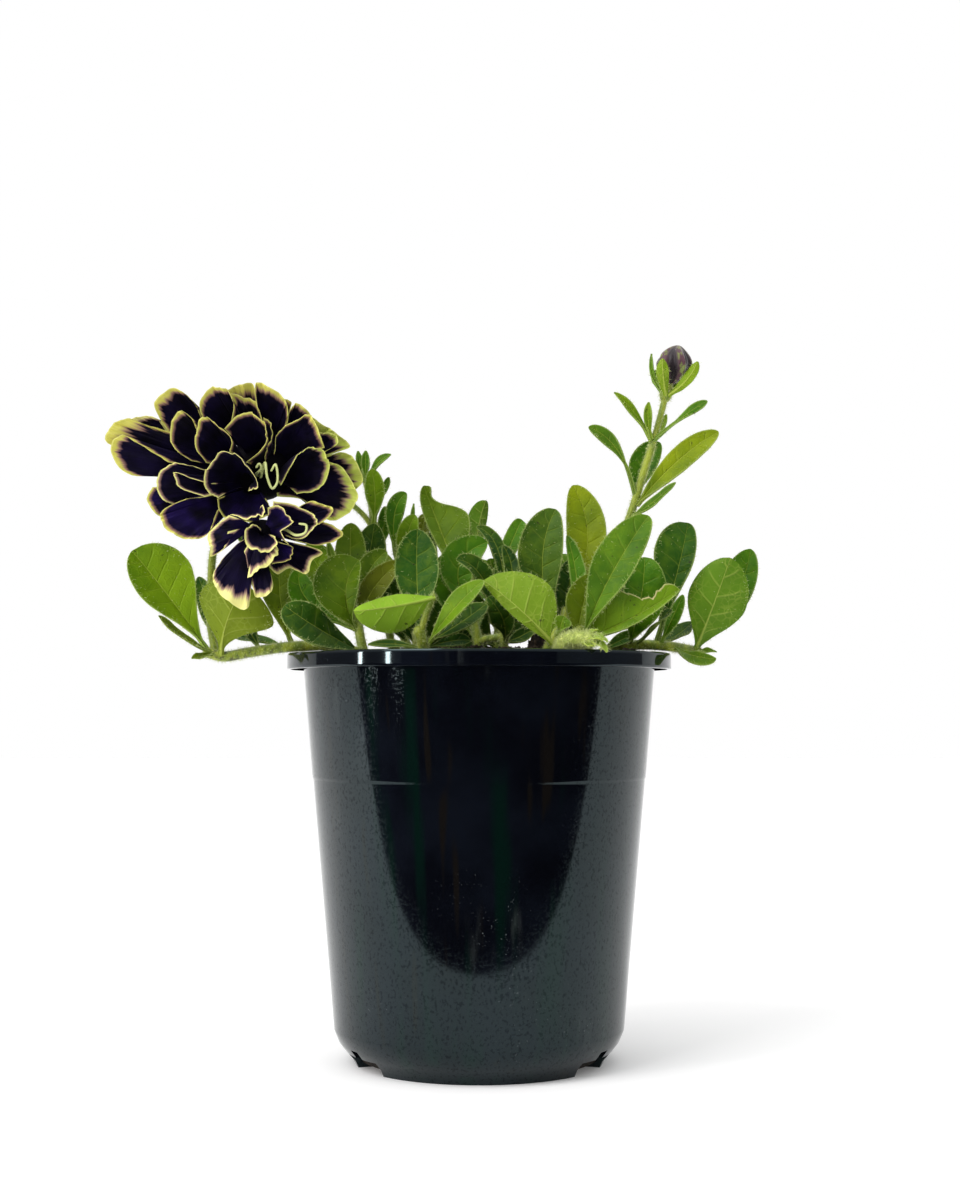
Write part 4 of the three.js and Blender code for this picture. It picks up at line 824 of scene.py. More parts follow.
# %% Leafy stems
LEAFY_STEMS = {
  "leafy_stem_left_trailing": {
    "rooted": [{"radius": 1.9, "path": [[-34, 4, 130], [-40, 2, 142], [-50, -1, 148.8], [-62, -3, 149.8],
      [-72, -4, 149.2], [-84, -5, 147.4], [-93, -6, 145.9], [-98.5, -6, 147.3]]}],
    "stalks": [{"radius": 1.4, "path": [[-96, -5, 147], [-98.5, -2, 160], [-98.5, 0, 172], [-98, 0.5, 183],
      [-96.5, 0.5, 190], [-93.5, -2.5, 194.2], [-91, -6.6, 195]]}],
    "holds": "bloom_lower",
    "leaves": [
      leaf([-98, -6, 147.5], [-112.2, -12, 167.6], [-124.5, -17, 183.4], 9, 13.6, [0.2, -1, 0.3], "fresh",
        widest=0.64),
      leaf([-97, -7, 147.5], [-106, -15, 152.2], [-114, -21, 160], 3.2, 3.2, [0.3, -0.5, 0.9], "olive"),
      leaf([-96, -7, 146.8], [-99.5, -10, 146], [-103.5, -12, 145], 2.2, 2.2, [0, -0.6, 1], "olive"),
      leaf([-93.5, -7, 146.5], [-90.5, -13, 159], [-84, -13, 172], 16, 13.5, [0.1, 1, 0.3], "olive",
        widest=0.66),
      leaf([-95, -3, 148.5], [-99, 4, 162], [-104.5, 9, 176], 4, 4, FRONT, "blue"),
      leaf([-80, -4, 148.5], [-84, 1, 155], [-89, 2, 163], 2.6, 2.6, FRONT, "deep"),
      leaf([-71, -2, 150], [-82, 4, 152], [-93, 7, 154.5], 4.5, 4, SKY, "mid"),
      leaf([-68, -2, 149.8], [-73, 3, 165], [-74, 7, 182], 7, 7.5, FRONT, "olive", widest=0.72, wedge=0.8),
    ],
  },
  "leafy_stem_left": {
    "rooted": [{"radius": 1.7, "path": [[-37, -14, 130], [-40, -15, 142], [-42.5, -15, 152],
      [-44.5, -14, 164]]}],
    "stalks": [{"radius": 1.2, "path": [[-41.3, -15, 147.5], [-42.5, -17, 147.8], [-44, -19.8, 148]]}],
    "leaves": [
      leaf([-43.5, -19, 147.6], [-57, -37, 155.5], [-67, -42, 162.5], 8, 6.4, [-0.2, -1, 0.5], "deep",
        wedge=0.6),
      leaf([-44, -16, 155], [-47.5, -20, 168.5], [-43, -19, 180], 12, 5.5, FRONT, "moss", fold=[10, 30]),
      leaf([-43, -14, 156], [-39, -14, 168.5], [-28.5, -13, 180], 5, 4.5, [0.2, -1, 0.4], "umber"),
      leaf([-44, -12, 158], [-41, -11, 174], [-33.5, -9, 184], 5, 4.5, FRONT, "moss"),
      leaf([-46, -13, 160], [-47, -5, 179], [-47, -2, 195], 5.8, 6.2, FRONT, "moss", fold=[8, 16]),
      leaf([-44, -13, 160], [-41, -3, 178], [-38.5, 0, 195], 6.5, 6.5, FRONT, "deep"),
      leaf([-46, -13, 158], [-56, -5, 174], [-64, -1, 187], 7.5, 8, FRONT, "fresh"),
      leaf([-45, -14, 161], [-51.5, -9, 176], [-55, -6, 188], 1.8, 1.8, FRONT, "moss"),
      leaf([-45, -14, 156], [-62, -9, 166], [-65, -7, 178], 5, 5.5, FRONT, "mid"),
    ],
  },
  "leafy_stem_front_centre": {
    "rooted": [
      {"radius": 2, "path": [[-17, -30, 130], [-18, -33, 142], [-20, -35, 151], [-21, -36, 154]]},
    ],
    "stalks": [{"radius": 1.2, "path": [[-20.5, -35.5, 151], [-19, -37, 158], [-16, -38, 166]]}],
    "leaves": [
      leaf([-15.5, -38, 165.5], [-28.5, -42, 162.5], [-43, -44, 160.5], 3.6, 10.6, [0, 1, 0.35], "lime",
        widest=0.52, wedge=0.9),
      leaf([-20, -34, 150], [-22, -24, 171], [-22, -20, 191], 8, 8.2, FRONT, "blue", widest=0.62),
      leaf([-18, -34, 149], [-9, -46, 160.5], [1.5, -45, 171], 4.6, 4.6, [-0.5, -1, 0.5], "spring"),
      leaf([-17.5, -33, 150], [-6, -37, 157], [2.5, -34, 163.5], 4.5, 4.5, [-0.3, -1, 0.6], "deep"),
      leaf([-20, -34, 148], [-29, -32, 149.4], [-39, -30, 149.4], 1.4, 1.8, [0, -1, 0.5], "deep"),
      leaf([-18.3, -34, 148], [-10, -32, 150.5], [-3, -31, 150.8], 2.8, 2.8, [0, -1, 0.5], "forest"),
    ],
  },
  "leafy_stem_front_right": {
    "rooted": [{"radius": 2, "path": [[20, -38, 130], [22, -41, 142], [25, -45, 150], [27, -46.5, 153]]}],
    "stalks": [],
    "leaves": [
      leaf([25.5, -46, 149], [13, -47, 161.5], [1.5, -41, 171], 14, 3, [-0.3, 1, 0.2], "spring", widest=0.45),
      leaf([27, -46.5, 149], [27.5, -48, 154], [29, -49, 158.5], 2.8, 3.6, FRONT, "spring", widest=0.8),
    ],
  },
  "leafy_stem_centre": {
    "rooted": [
      {"radius": 1.7, "path": [[2, -14, 130], [1, -15, 142], [-1, -15, 154], [-4, -13, 166]]},
      {"radius": 1.6, "path": [[8, -20, 130], [8.5, -22, 142], [9, -22, 156]]},
    ],
    "stalks": [{"radius": 1.3, "path": [[-0.5, -15, 151], [4, -19, 152], [8.8, -22, 152.5]]}],
    "leaves": [
      leaf([-3, -13, 163], [-14, 3, 192], [-20.6, 5, 209.5], 4.2, 14, FRONT, "moss", fold=[12, 24],
        widest=0.6, bite={"side": 1, "at": 0.83, "long": 0.21, "depth": 0.86}),
      leaf([-3, -13, 164], [-1, 6, 190], [2.5, 9, 204.5], 3.5, 5, [-0.4, 1, 0.2], "mid"),
      leaf([-1, -15, 156], [11, 2, 186], [16, 7, 197], 3.4, 3.4, FRONT, "mid"),
      leaf([-2, -15, 160], [-7.5, -14, 177], [3, -13, 187], 7.5, 7, [0.1, -1, 0.3], "mid"),
      leaf([-1, -14, 152], [-9, -10, 168], [-12.4, -8, 183], 7, 7.5, FRONT, "mid"),
      leaf([-4, -13, 166], [-9, -9, 177], [-11, -5, 186], 3.2, 4.5, FRONT, "blue"),
      leaf([8.8, -22, 155], [7.5, -9, 182], [-1, -7, 193], 3.2, 3.2, [0.3, -1, 0.5], "blue"),
      leaf([9, -21, 155], [12, -13, 174], [8.5, -10, 186], 3, 3, FRONT, "blue"),
      leaf([8.5, -22, 154], [1, -28, 173], [-8, -31, 179], 4.5, 4.5, [0, -0.9, 0.6], "deep", fold=[26, 26]),
      leaf([9, -22, 150], [8.5, -31, 158], [3, -33, 166], 4.5, 4.5, [-0.3, -1, 0.3], "deep"),
      leaf([8.5, -21, 150.5], [14, -18, 152.4], [20, -15, 156], 2.6, 2.6, FRONT, "deep"),
    ],
  },
  "leafy_stem_right_front": {
    "rooted": [{"radius": 2, "path": [[32, -26, 130], [33, -31, 142], [34.5, -34, 150], [35, -35, 154]]}],
    "stalks": [],
    "leaves": [
      leaf([35.5, -36, 150], [45, -41, 172], [59, -36, 194.2], 8.6, 7.6, FRONT, "sage", fold=[8, 32],
        widest=0.62),
      leaf([34, -35, 150], [36, -33, 162], [40, -31, 174], 6.5, 6, FRONT, "olive"),
      leaf([36, -35, 151], [53, -39, 158.5], [69.5, -37, 168.5], 13, 2.8, [0, -1, 0.3], "spring", widest=0.46,
        bite={"side": 0, "at": 0.74, "long": 0.2, "depth": 0.72, "raw": 1}),
      leaf([34, -32, 150], [35, -21, 170], [31.5, -17, 189], 2.4, 3.8, FRONT, "mid"),
    ],
  },
  "leafy_stem_right": {
    "rooted": [{"radius": 1.8, "path": [[27, -12, 130], [28, -14, 142], [29, -15, 152], [31, -14, 162]]}],
    "stalks": [],
    "leaves": [
      leaf([28, -15, 151], [22.6, -17, 177.5], [27.6, -14, 198.8], 9, 7.5, [-0.1, -1, 0.2], "dusk",
        widest=0.6),
      leaf([31, -14, 160], [39.6, -4, 187], [34.4, 1, 209.2], 8, 7, FRONT, "gold", widest=0.58),
      leaf([29.5, -14, 154], [32, -12, 168], [33.5, -9, 181], 5.5, 5.5, FRONT, "blue"),
    ],
  },
  "leafy_stem_right_trailing": {
    "rooted": [{"radius": 1.8, "path": [[36, 2, 130], [40, 1, 142], [46, -1, 148], [57, -3, 150.2],
      [69, -4, 149.7], [80, -4, 147.6]]}],
    "stalks": [],
    "leaves": [
      leaf([78.5, -4.5, 147.8], [84.6, -9, 164], [91, -10, 181.5], 12, 10.2, [0.1, 1, 0.2], "mid"),
      leaf([78, -2, 148.2], [93.6, 2, 167], [100.2, 4, 186], 8.6, 5.4, FRONT, "mid"),
      leaf([71, -4.5, 149.4], [77, -13, 146], [84.8, -16, 144.8], 2, 4, [0.2, -1, 0.4], "spring"),
      leaf([79, -5.8, 147.6], [82, -8, 147.8], [86, -9, 147.4], 2, 2, SKY, "spring"),
      leaf([66, -4, 150.4], [69.5, -10, 159], [73.5, -12, 168], 2.2, 2.8, FRONT, "mid"),
      leaf([65.5, -3.4, 150.4], [73, 3, 154], [79, 5, 159], 4.5, 4.5, SKY, "deep"),
      leaf([64.5, -4, 150.6], [71.6, -9, 175.6], [76.2, -5, 194.8], 10.4, 5, FRONT, "forest", widest=0.66),
      leaf([54.5, -2.6, 150.2], [57.5, -19, 165], [59, -20, 181], 7, 9, FRONT, "mid"),
      leaf([57.5, -3.2, 150.6], [64, -13, 157], [69, -14, 163], 3, 3, SKY, "deep"),
      leaf([45, -1, 148], [51, -4, 151.6], [58.5, -6, 154.6], 2.6, 2.2, FRONT, "forest"),
    ],
  },
  "leafy_stem_back_left": {
    "rooted": [{"radius": 1.5, "path": [[-28, 14, 130], [-31, 14, 142], [-36, 13, 170], [-39.5, 12, 196]]}],
    "stalks": [
      {"radius": 1.2, "path": [[-39.5, 12, 195], [-41, 12.5, 206], [-43.5, 12.5, 215]]},
      {"radius": 1, "path": [[-39.2, 12, 193], [-43, 12, 199], [-50, 12, 205], [-60, 12.5, 210.5],
        [-71, 12, 214], [-77.5, 10, 214.9], [-79.9, 7.3, 214.8]]},
    ],
    "holds": "bloom_upper",
    "leaves": [
      leaf([-39.5, 11, 196], [-38.8, 7.5, 206.5], [-40, 6, 216], 3.8, 3.8, FRONT, "fresh"),
      leaf([-43, 12, 212], [-44.5, 12, 218], [-45.5, 12, 223.5], 1.4, 1.4, FRONT, "mid"),
      leaf([-42.5, 11.5, 212], [-42.6, 11, 218], [-42.5, 11, 223.5], 1.7, 1.7, FRONT, "mid"),
      leaf([-42, 11, 211], [-38, 11, 218.5], [-33, 11, 222], 1.8, 1.5, [-0.2, -1, 0.6], "mid"),
      leaf([-39.5, 13, 202], [-36, 15, 209], [-34, 15, 214], 1.5, 1.5, FRONT, "mid"),
      leaf([-38, 13, 185], [-36, 15, 194], [-35.5, 15, 203], 2.6, 2.6, FRONT, "mid"),
    ],
  },
  "leafy_stem_back_centre": {
    "rooted": [{"radius": 1.4, "path": [[-20, 8, 130], [-22, 8, 142], [-26, 8, 165], [-31, 9, 186]]}],
    "stalks": [{"radius": 1.1, "path": [[-25, 8, 160], [-23, 9, 175], [-22.5, 11, 190]]}],
    "leaves": [
      leaf([-31, 9, 184], [-31.5, 7.5, 199], [-27, 7, 207], 3.6, 3.6, FRONT, "mid"),
      leaf([-28, 8.5, 174], [-27, 5, 189], [-23.5, 4, 198.5], 4, 4, FRONT, "fresh"),
      leaf([-23, 10, 182], [-21.5, 12, 193], [-20, 13, 200], 3, 3, FRONT, "umber"),
      leaf([-24, 9, 178], [-25, 13, 193], [-24.6, 15, 204], 1, 1, FRONT, "mid"),
      leaf([-25, 8, 164], [-19.5, 4, 178], [-18.5, 3, 192], 3.5, 3.5, FRONT, "deep"),
      leaf([-21.8, 7.6, 148], [-14, 5, 160], [-8, 3, 173], 7, 7, FRONT, "deep"),
      leaf([-22.5, 8, 149], [-29, 6, 163], [-35, 4, 176], 6, 6, FRONT, "deep"),
    ],
  },
  "flower_shoot": {
    "rooted": [{"radius": 1.45, "path": [[38, 6, 130], [39, 4, 142], [43, -1, 165], [50, -7, 184],
      [55.5, -10, 199], [59.5, -11, 212], [62.7, -11, 222]]}],
    "stalks": [
      {"radius": 1.15, "path": [[62.3, -11, 220.5], [66.2, -11, 234.5], [68, -10.5, 241.5]]},
      {"radius": 2.3, "path": [[67.7, -10.6, 240.4], [68.4, -10.4, 243]]},
    ],
    "leaves": [
      leaf([62.5, -11.5, 224], [55.5, -15, 234], [48.5, -18, 240.5], 1.9, 1.9, [0.3, -1, 0.5], "fresh"),
      leaf([63, -11.5, 224], [72.5, -14, 231.5], [82.3, -16, 237.8], 2, 2.2, [-0.3, -1, 0.5], "mid",
        widest=0.76),
      leaf([62.5, -12, 224.5], [61, -14, 231], [61.3, -15, 237.5], 1.6, 1.6, FRONT, "fresh"),
      leaf([63, -10, 223], [66.5, -7, 229.5], [68.5, -6, 234.5], 1.2, 1.2, FRONT, "fresh"),
      leaf([57, -10.5, 202], [50.5, -15, 219], [39.3, -18, 228], 2.8, 2.8, [-0.3, -1, 0.4], "sage",
        widest=0.76),
      leaf([57, -9, 202], [60, -5, 214.5], [66.5, -3, 224.5], 6, 4.5, FRONT, "mid"),
      leaf([57, -11, 200.5], [71.5, -15, 216], [86, -18, 226.3], 4.6, 5.4, [-0.1, -1, 0.4], "gold",
        wedge=0.8),
      leaf([55.5, -11, 196.5], [62.5, -15, 201], [70.5, -18, 208], 2.2, 2.4, [-0.3, -0.8, 0.8], "sage",
        wedge=0.7),
      leaf([67.8, -12, 240.5], [66.4, -16.3, 246.5], [66.2, -17, 253], 2.2, 2.4, [0, 1, 0.2], "fresh",
        widest=0.6, wedge=0.6),
      leaf([68.7, -12, 240.5], [75, -15, 245.5], [79, -15, 252.3], 2, 2.4, [0.2, 1, -0.2], "fresh",
        widest=0.62, wedge=0.6),
      leaf([67.3, -10, 241.5], [63.5, -8.5, 248], [63, -8, 256.5], 0.9, 0.9, FRONT, "mid"),
      leaf([68.5, -9, 241.5], [72.5, -4.5, 247], [74.5, -3.5, 253], 2.2, 2.2, [0, -1, 0.2], "mid",
        widest=0.65),
      leaf([67.5, -9, 241.5], [65.5, -5, 246], [65, -3, 251.5], 2, 2, [0, -1, 0.2], "mid", widest=0.65),
    ],
  },
  "leafy_stem_rear_left": {
    "rooted": [{"radius": 1.7, "path": [[-20, 32, 130], [-23, 34, 142], [-28, 37, 152], [-32, 39, 162]]}],
    "stalks": [],
    "leaves": [
      leaf([-30, 38, 157], [-45, 44, 166], [-60, 47, 176], 7, 7, [0.2, 0.9, 0.7], "mid"),
      leaf([-31, 38, 159], [-36, 46, 174], [-42, 48, 190], 7.5, 7.5, [-0.2, 1, 0.3], "moss"),
      leaf([-31, 38, 160], [-24, 42, 174], [-19, 42, 188], 6, 6, [0.2, 1, 0.3], "deep"),
      leaf([-29, 37, 154], [-26, 50, 160], [-30, 63, 164], 7, 7, [0, 0.5, 1], "fresh"),
      leaf([-26.2, 36, 149.5], [-12, 42, 156], [-6, 52, 160], 5, 5, [-0.2, 0.6, 1], "mid"),
      leaf([-27.5, 36.5, 151], [-35, 33, 166], [-42, 30, 181], 7, 7, FRONT, "deep"),
    ],
  },
  "leafy_stem_rear_centre": {
    "rooted": [{"radius": 1.7, "path": [[4, 26, 130], [5, 29, 142], [7, 32, 154], [8, 34, 168]]}],
    "stalks": [],
    "leaves": [
      leaf([8, 33, 164], [4, 40, 175], [-4, 46, 184], 6.5, 6.5, [0, 1, 0.5], "mid"),
      leaf([8, 33, 165], [13, 40, 174], [16, 49, 181], 6, 6, [0, 1, 0.6], "deep"),
      leaf([7, 32, 156], [8, 46, 163], [9, 62, 168], 7.5, 7.5, [0, 0.5, 1], "fresh"),
      leaf([7, 31, 152], [20, 36, 159], [30, 45, 166], 6, 6, [0, 0.7, 1], "mid"),
      leaf([8, 33, 166], [6, 27, 176], [4, 24, 184], 4.5, 4.5, [0, 1, 0.3], "mid"),
      leaf([7, 30.5, 150], [-3, 28, 161], [-9, 28, 175], 8, 8, FRONT, "deep"),
      leaf([6, 29.5, 148.5], [-4, 24, 153], [-13, 20, 158.5], 5, 5, FRONT, "deep"),
      leaf([7, 30.5, 151], [14, 26, 163], [20, 24, 178], 7.5, 7.5, FRONT, "deep"),
    ],
  },
  "leafy_stem_rear_right": {
    "rooted": [{"radius": 1.7, "path": [[30, 20, 130], [33, 21, 142], [39, 22, 153], [43, 23, 166]]}],
    "stalks": [],
    "leaves": [
      leaf([42, 23, 162], [50, 26, 175], [56, 24, 189], 7, 7, [0.5, 1, 0.3], "moss"),
      leaf([42, 23, 161], [44, 36, 170], [42, 46, 181], 7, 7, [0.1, 1, 0.6], "mid"),
      leaf([41, 22.5, 157], [57, 28, 163], [71, 33, 170], 7, 7, [0, 0.6, 1], "deep"),
      leaf([39, 22, 153], [50, 40, 156], [55, 52, 158], 6.5, 6.5, [0.2, 0.5, 1], "fresh"),
      leaf([43, 23, 164], [36, 26, 176], [31, 28, 186], 6, 6, [-0.2, 1, 0.3], "mid"),
      leaf([38, 21.6, 151], [33, 19, 164], [28, 17, 178], 7, 7, FRONT, "deep"),
      leaf([41, 22, 155], [52, 17, 163], [60, 15, 173], 6.5, 6.5, FRONT, "deep"),
    ],
  },
}

# %% Blooms
BLOOMS = {
  "bloom_upper": {
    "centre": [-75, -22, 210.5],
    "faces": [0.115, -0.985, -0.128],
    "heart": {"at": [-4, 1, -9.5], "radii": [13, 11, 7]},
    "tubeEnd": [-1, 0, -27],
    "petals": [
      petal([-8, 3, -12], [[-50, 14, -5], [-48.3, 19, -5], [-44, 19.8, -4.5], [-40.3, 19.5, -4.5],
        [-36.7, 15, -5]], band=3, spread=0.6, pale="cream"),
      petal([-8, 1, -10], [[-34, 14.3, -2], [-43, 16.6, 0], [-49.7, 18.8, 2], [-54.6, 16.4, 4],
        [-57.2, 11.4, 3], [-54.5, 8.8, 0]], band=8, peak=0.5, spread=0.5),
      petal([-9, 0, -9], [[-35.3, 3.7, 3], [-43.3, 8.7, 5], [-51.7, 12.8, 7], [-55, 8.5, 6.5], [-50.5, 0, 4],
        [-39.3, -1.5, 1]], band=3, spread=0.9),
      petal([-6, 4, -12], [[-35.3, 14.3, -4], [-38.7, 19.3, -3], [-40.3, 24.7, -1], [-34, 29.8, 0],
        [-30, 28.2, -1], [-26, 24, -3], [-24, 19, -5]], band=3.2, peak=0.38, spread=0.25),
      petal([-6, 0, -10], [[-27.3, 4.3, 1], [-33, 8.5, 3], [-34.7, 14, 4.5], [-31.3, 21.8, 6],
        [-27.5, 19.5, 4], [-24.8, 14, 2]], band=2.2, peak=0.65, spread=0.2),
      petal([-6, -1, -9], [[-22, 3.7, 4], [-25.7, 9.5, 7], [-24.9, 16, 9], [-23.3, 19.7, 10],
        [-18.5, 17.3, 9], [-13.2, 12, 7], [-13.7, 7.7, 6]], band=2, peak=0.55, spread=0.25),
      petal([-4, 5, -12], [[-23.3, 19, 0], [-24.5, 24.7, 1], [-20.5, 30, 3], [-15.3, 29.7, 3], [-12.6, 25, 2],
        [-13.5, 17.5, 0]], band=2.4, peak=0.4, spread=0.3),
      petal([-3, 6, -13], [[-15.3, 29.5, -5], [-10.7, 31.7, -5], [-6.1, 32.1, -5], [-4.5, 24.5, -6]], band=5,
        spread=1),
      petal([-3, 5, -12], [[-13.7, 28.4, -2], [-9.5, 27.4, -1], [-4.6, 25, 0], [-2.5, 19, -1]], band=2.5,
        spread=0.8),
      petal([0, 5, -12], [[-3, 19, -3], [-4.7, 27, -3], [-4.7, 32.3, -2], [1, 30.4, -1], [5.7, 26.3, -2],
        [6.7, 22, -3], [5.5, 16, -5]], band=3, peak=0.4, spread=0.3),
      petal([2, 5, -13], [[5.5, 27, -5.5], [7.2, 26.5, -5.5], [7.3, 22, -5.5], [6, 17, -6.5]], band=1.5),
      petal([3, 4, -12], [[6.3, 17.7, -4], [7.7, 23.5, -3], [9.5, 25.3, -3], [13, 23.6, -3], [16.7, 18, -4]],
        band=1.6, spread=0.8),
      petal([4, 2, -14], [[15, 21, -7], [19.3, 18, -6], [23.3, 15.7, -5.5], [29, 10.3, -5], [25.3, 8.7, -6],
        [20.7, 6.7, -7]], band=6, spread=1, pale="green"),
      petal([4, 1, -12], [[18, 15, -1], [22.7, 14.7, 0], [24.7, 11.7, 1], [20, 8.3, -1]], band=2,
        pale="green"),
      petal([2, 1, -11], [[2.3, 9.3, 0], [2.7, 14, 2], [7.3, 18, 4], [14.3, 21, 5], [17, 16.7, 4],
        [19.7, 9.7, 2]], band=2, peak=0.7, spread=0.2),
      petal([4, -1, -13], [[21.7, 6.7, -6], [26, 8.3, -5], [30.5, 6, -4], [33.7, -2, -4], [31.5, -5, -5]],
        band=5, spread=0.8, pale="green"),
      petal([4, -2, -11.5], [[21.3, 4.7, -1], [25.8, 3, 0], [30, -3, 0], [31.8, -8, 0], [28, -14, -1],
        [22, -16.3, -2], [12, -9, -4], [3, -8, -5]], band=5, peak=0.42, spread=0.3, pale="green"),
      petal([3, -2, -9], [[4.3, -4, 2], [7.7, 2.7, 6], [11.3, 8, 9], [17, 9.6, 9.5], [21.2, 4.5, 7],
        [18.5, -4.5, 3], [10, -7, 1]], bulge=2, band=3, peak=0.6, spread=0.18, pale="green"),
      petal([-4, 1, -10], [[-15.7, 15.7, 5], [-10.7, 20.7, 6], [-5, 21, 7], [-0.9, 15, 7], [-2, 9.5, 6],
        [-8, 4, 4]], bulge=2, band=2.2, peak=0.55, spread=0.3),
      petal([-2, 1, -11], [[-2, 20, 1.5], [1, 17.3, 2], [0.3, 12, 2], [-1.5, 6, 1]], band=1),
      petal([-6, -5, -8], [[-17.7, -8.7, 6], [-22, -5.5, 8], [-22, 0.5, 10], [-15.5, 7.7, 13], [-9.5, 5, 13],
        [-3.8, -4.3, 12], [-7, -6, 9]], bulge=2.5, band=1.4, pale="cream"),
      petal([-7, -3, -9], [[-23.3, 1.3, 4], [-30, 3.2, 5], [-35.5, 2.6, 5], [-39.3, -3.3, 5], [-37.5, -9, 4],
        [-33.3, -11.3, 2]], band=0.9, pale="cream"),
      petal([-8, -4, -7.5], [[-21, -3.7, 6.5], [-27.3, -1.7, 9], [-32.8, 0, 10], [-31.3, -4.7, 9],
        [-22.3, -8.2, 7]], bulge=0.6, band=0.8, pale="cream"),
      petal([-8, -5, -10], [[-36, -10.5, 1], [-40.5, -5.3, 2], [-42.7, -9.5, 1], [-39, -15.2, 0],
        [-34, -16, -1]], band=1.2, violet=0.8),
      petal([-7, -6, -9], [[-22, -8.3, 3], [-30, -9.6, 5], [-37.7, -14.3, 6], [-36, -19.5, 6],
        [-29, -23.2, 5], [-22, -22, 5], [-18, -13, 3]], bulge=2, band=1.5, peak=0.4, violet=0.6),
      petal([-5, -6, -9], [[-18, -9, 3], [-17, -14, 3], [-11, -17, 3], [-4, -16.5, 3], [0.5, -14, 2],
        [0, -10.5, 2]], band=0, violet=0.6),
    ],
    "curls": [
      [[-3, -2, -8], [-2.6, 0, 1], [-1.3, 4, 6], [-0.6, -1, 8], [1.3, -5, 8.5], [3, -2.7, 8], [2.3, 3.5, 7.5],
        [0.9, 1.3, 7]],
      [[-4, -1, -8], [-4.5, 0, 0], [-3.6, 0.8, 5], [-2.6, 2.2, 6], [-3.4, 3.6, 6.3], [-4.4, 2.4, 6]],
    ],
  },
  "bloom_lower": {
    "centre": [-77.4, -30, 186],
    "faces": [0.118, -0.985, -0.09],
    "heart": {"at": [1, 1.5, -3], "radii": [7, 6, 5]},
    "tubeEnd": [-9, 6, -23],
    "petals": [
      petal([-2, 6, -3], [[-10.5, 8.8, 0], [-15.3, 4.9, 1], [-17.9, 1.4, 2], [-16.9, -2, 4], [-16.6, -5.5, 3],
        [-12.4, -3, 3], [-10.8, 3, 2]], band=1.6, peak=0.4, spread=0.4, pale="cream", violet=0.5),
      petal([-2, 2, -2], [[-7.8, -1.5, 1], [-13, -7.2, 3], [-15.9, -13, 5], [-12.5, -19.5, 7], [-4.2, -24, 7],
        [-2.9, -18, 6], [-5.2, -4, 2]], bulge=2, band=5.5, peak=0.64, spread=0.17, pale="cream"),
      petal([0, 0, -1], [[-3.3, -13, 4], [-2, -16.3, 5.5], [-1, -19.5, 6], [3.9, -18.5, 6], [5, -15, 5],
        [3.2, -10.4, 3]], band=1.8, spread=1, pale="cream"),
      petal([0, 2, 0], [[-3.9, -13, 6.5], [0, -10.4, 8.5], [3.9, -7.8, 9], [6.5, -4.6, 9], [5.9, -1, 7]],
        band=2, spread=1, pale="cream"),
      petal([1, 3, 0], [[0.3, 4.4, 6], [-2.6, 5.4, 8], [-5, 3, 9], [-3.3, -2.3, 11], [1.5, -4, 11.5],
        [6.2, -1.5, 9.5], [5.6, 1.5, 8]], bulge=0.5, band=1.5, spread=1, pale="cream"),
      petal([-1, 8, -5], [[-10, 8.9, 6], [-5.2, 7.8, 8], [-0.6, 8.1, 9], [1.8, 10, 9], [1.2, 12.5, 7]],
        bulge=1.8, band=1.1, spread=1, pale="cream", violet=0.6),
      petal([2, 4, -1], [[2.9, 11.4, 6], [6.2, 12.2, 8], [9.6, 9.6, 10], [11.2, 6.2, 10], [7.5, 2.9, 9],
        [10.3, -1.2, 8]], bulge=2, band=1.2, spread=0.6, pale="cream", violet=1),
      petal([4, 5, -5], [[4.9, 13.8, 2], [11.7, 12.7, 5], [17.6, 10, 7], [20.2, 7.6, 7.5], [19, 4.4, 7],
        [15, 0.9, 6], [11.5, 0.9, 5]], band=1, pale="cream"),
      petal([3, 4, -6], [[15, 12.7, 0], [18.6, 14.2, 1], [22.5, 12.8, 2], [26, 11.5, 2.5], [24.8, 9, 2],
        [21, 5.9, 1]], band=1.6, spread=0.6),
      petal([4, 3, -6], [[22.4, 7, -1.5], [26.7, 5.2, -1], [29.6, 2.6, 0], [22, -1.4, 0], [16, -0.6, 0]],
        band=1.5, spread=0.5),
      petal([3, 1, -5], [[16, -1.4, 0], [22.4, -4, 0], [18.4, -7.2, 1], [17, -11.6, 1], [11, -9.6, 1],
        [6.5, -11.6, 1], [3.9, -9.5, 1]], band=1.6, spread=0.8, pale="cream"),
      petal([3, 1, -2], [[8.5, -1, 5], [11.4, -2, 5.5], [11.7, -4.9, 6], [9.8, -6.8, 6], [4.6, -8.2, 5]],
        band=0.3, violet=1),
    ],
    "curls": [
      [[5, 4, -2], [9, 4, 4], [13, 2, 8], [16, 3, 9], [16.3, 5.5, 9], [14, 6, 9]],
    ],
  },
}

# %% [markdown]
# ## Pot
# A moulded nursery pot is a turned body: one profile swept round an axis. A geometry node tree
# does this like a lathe. It lays out a grid of points, reads each one's radius and height from the
# profile, and turns it by its share of the circle. The channels and drain slots under the pot are
# cut afterwards, as the mould's cores do.

# %% Pot profile
RIM_RADIUS, POT_HEIGHT, RIM_BAND, WALL = 70, 147, 5.8, 1.4
MOULD_LINE_Z = 102
OUTER_CORNER = [(44.8, 0), (45.9, 2.3), (48.6, 5.3), (50.8, 8.2), (52.4, 12.2)]
INNER_CORNER = [(51.2, 13), (49.6, 9.2), (47.4, 6.2), (43.4, 1.5)]


def along(start, end, heights):
    """Points on the straight wall from start to end, at the given heights."""
    (r0, z0), (r1, z1) = start, end
    return [(r0 + (r1 - r0) * (z - z0) / (z1 - z0), z) for z in heights]


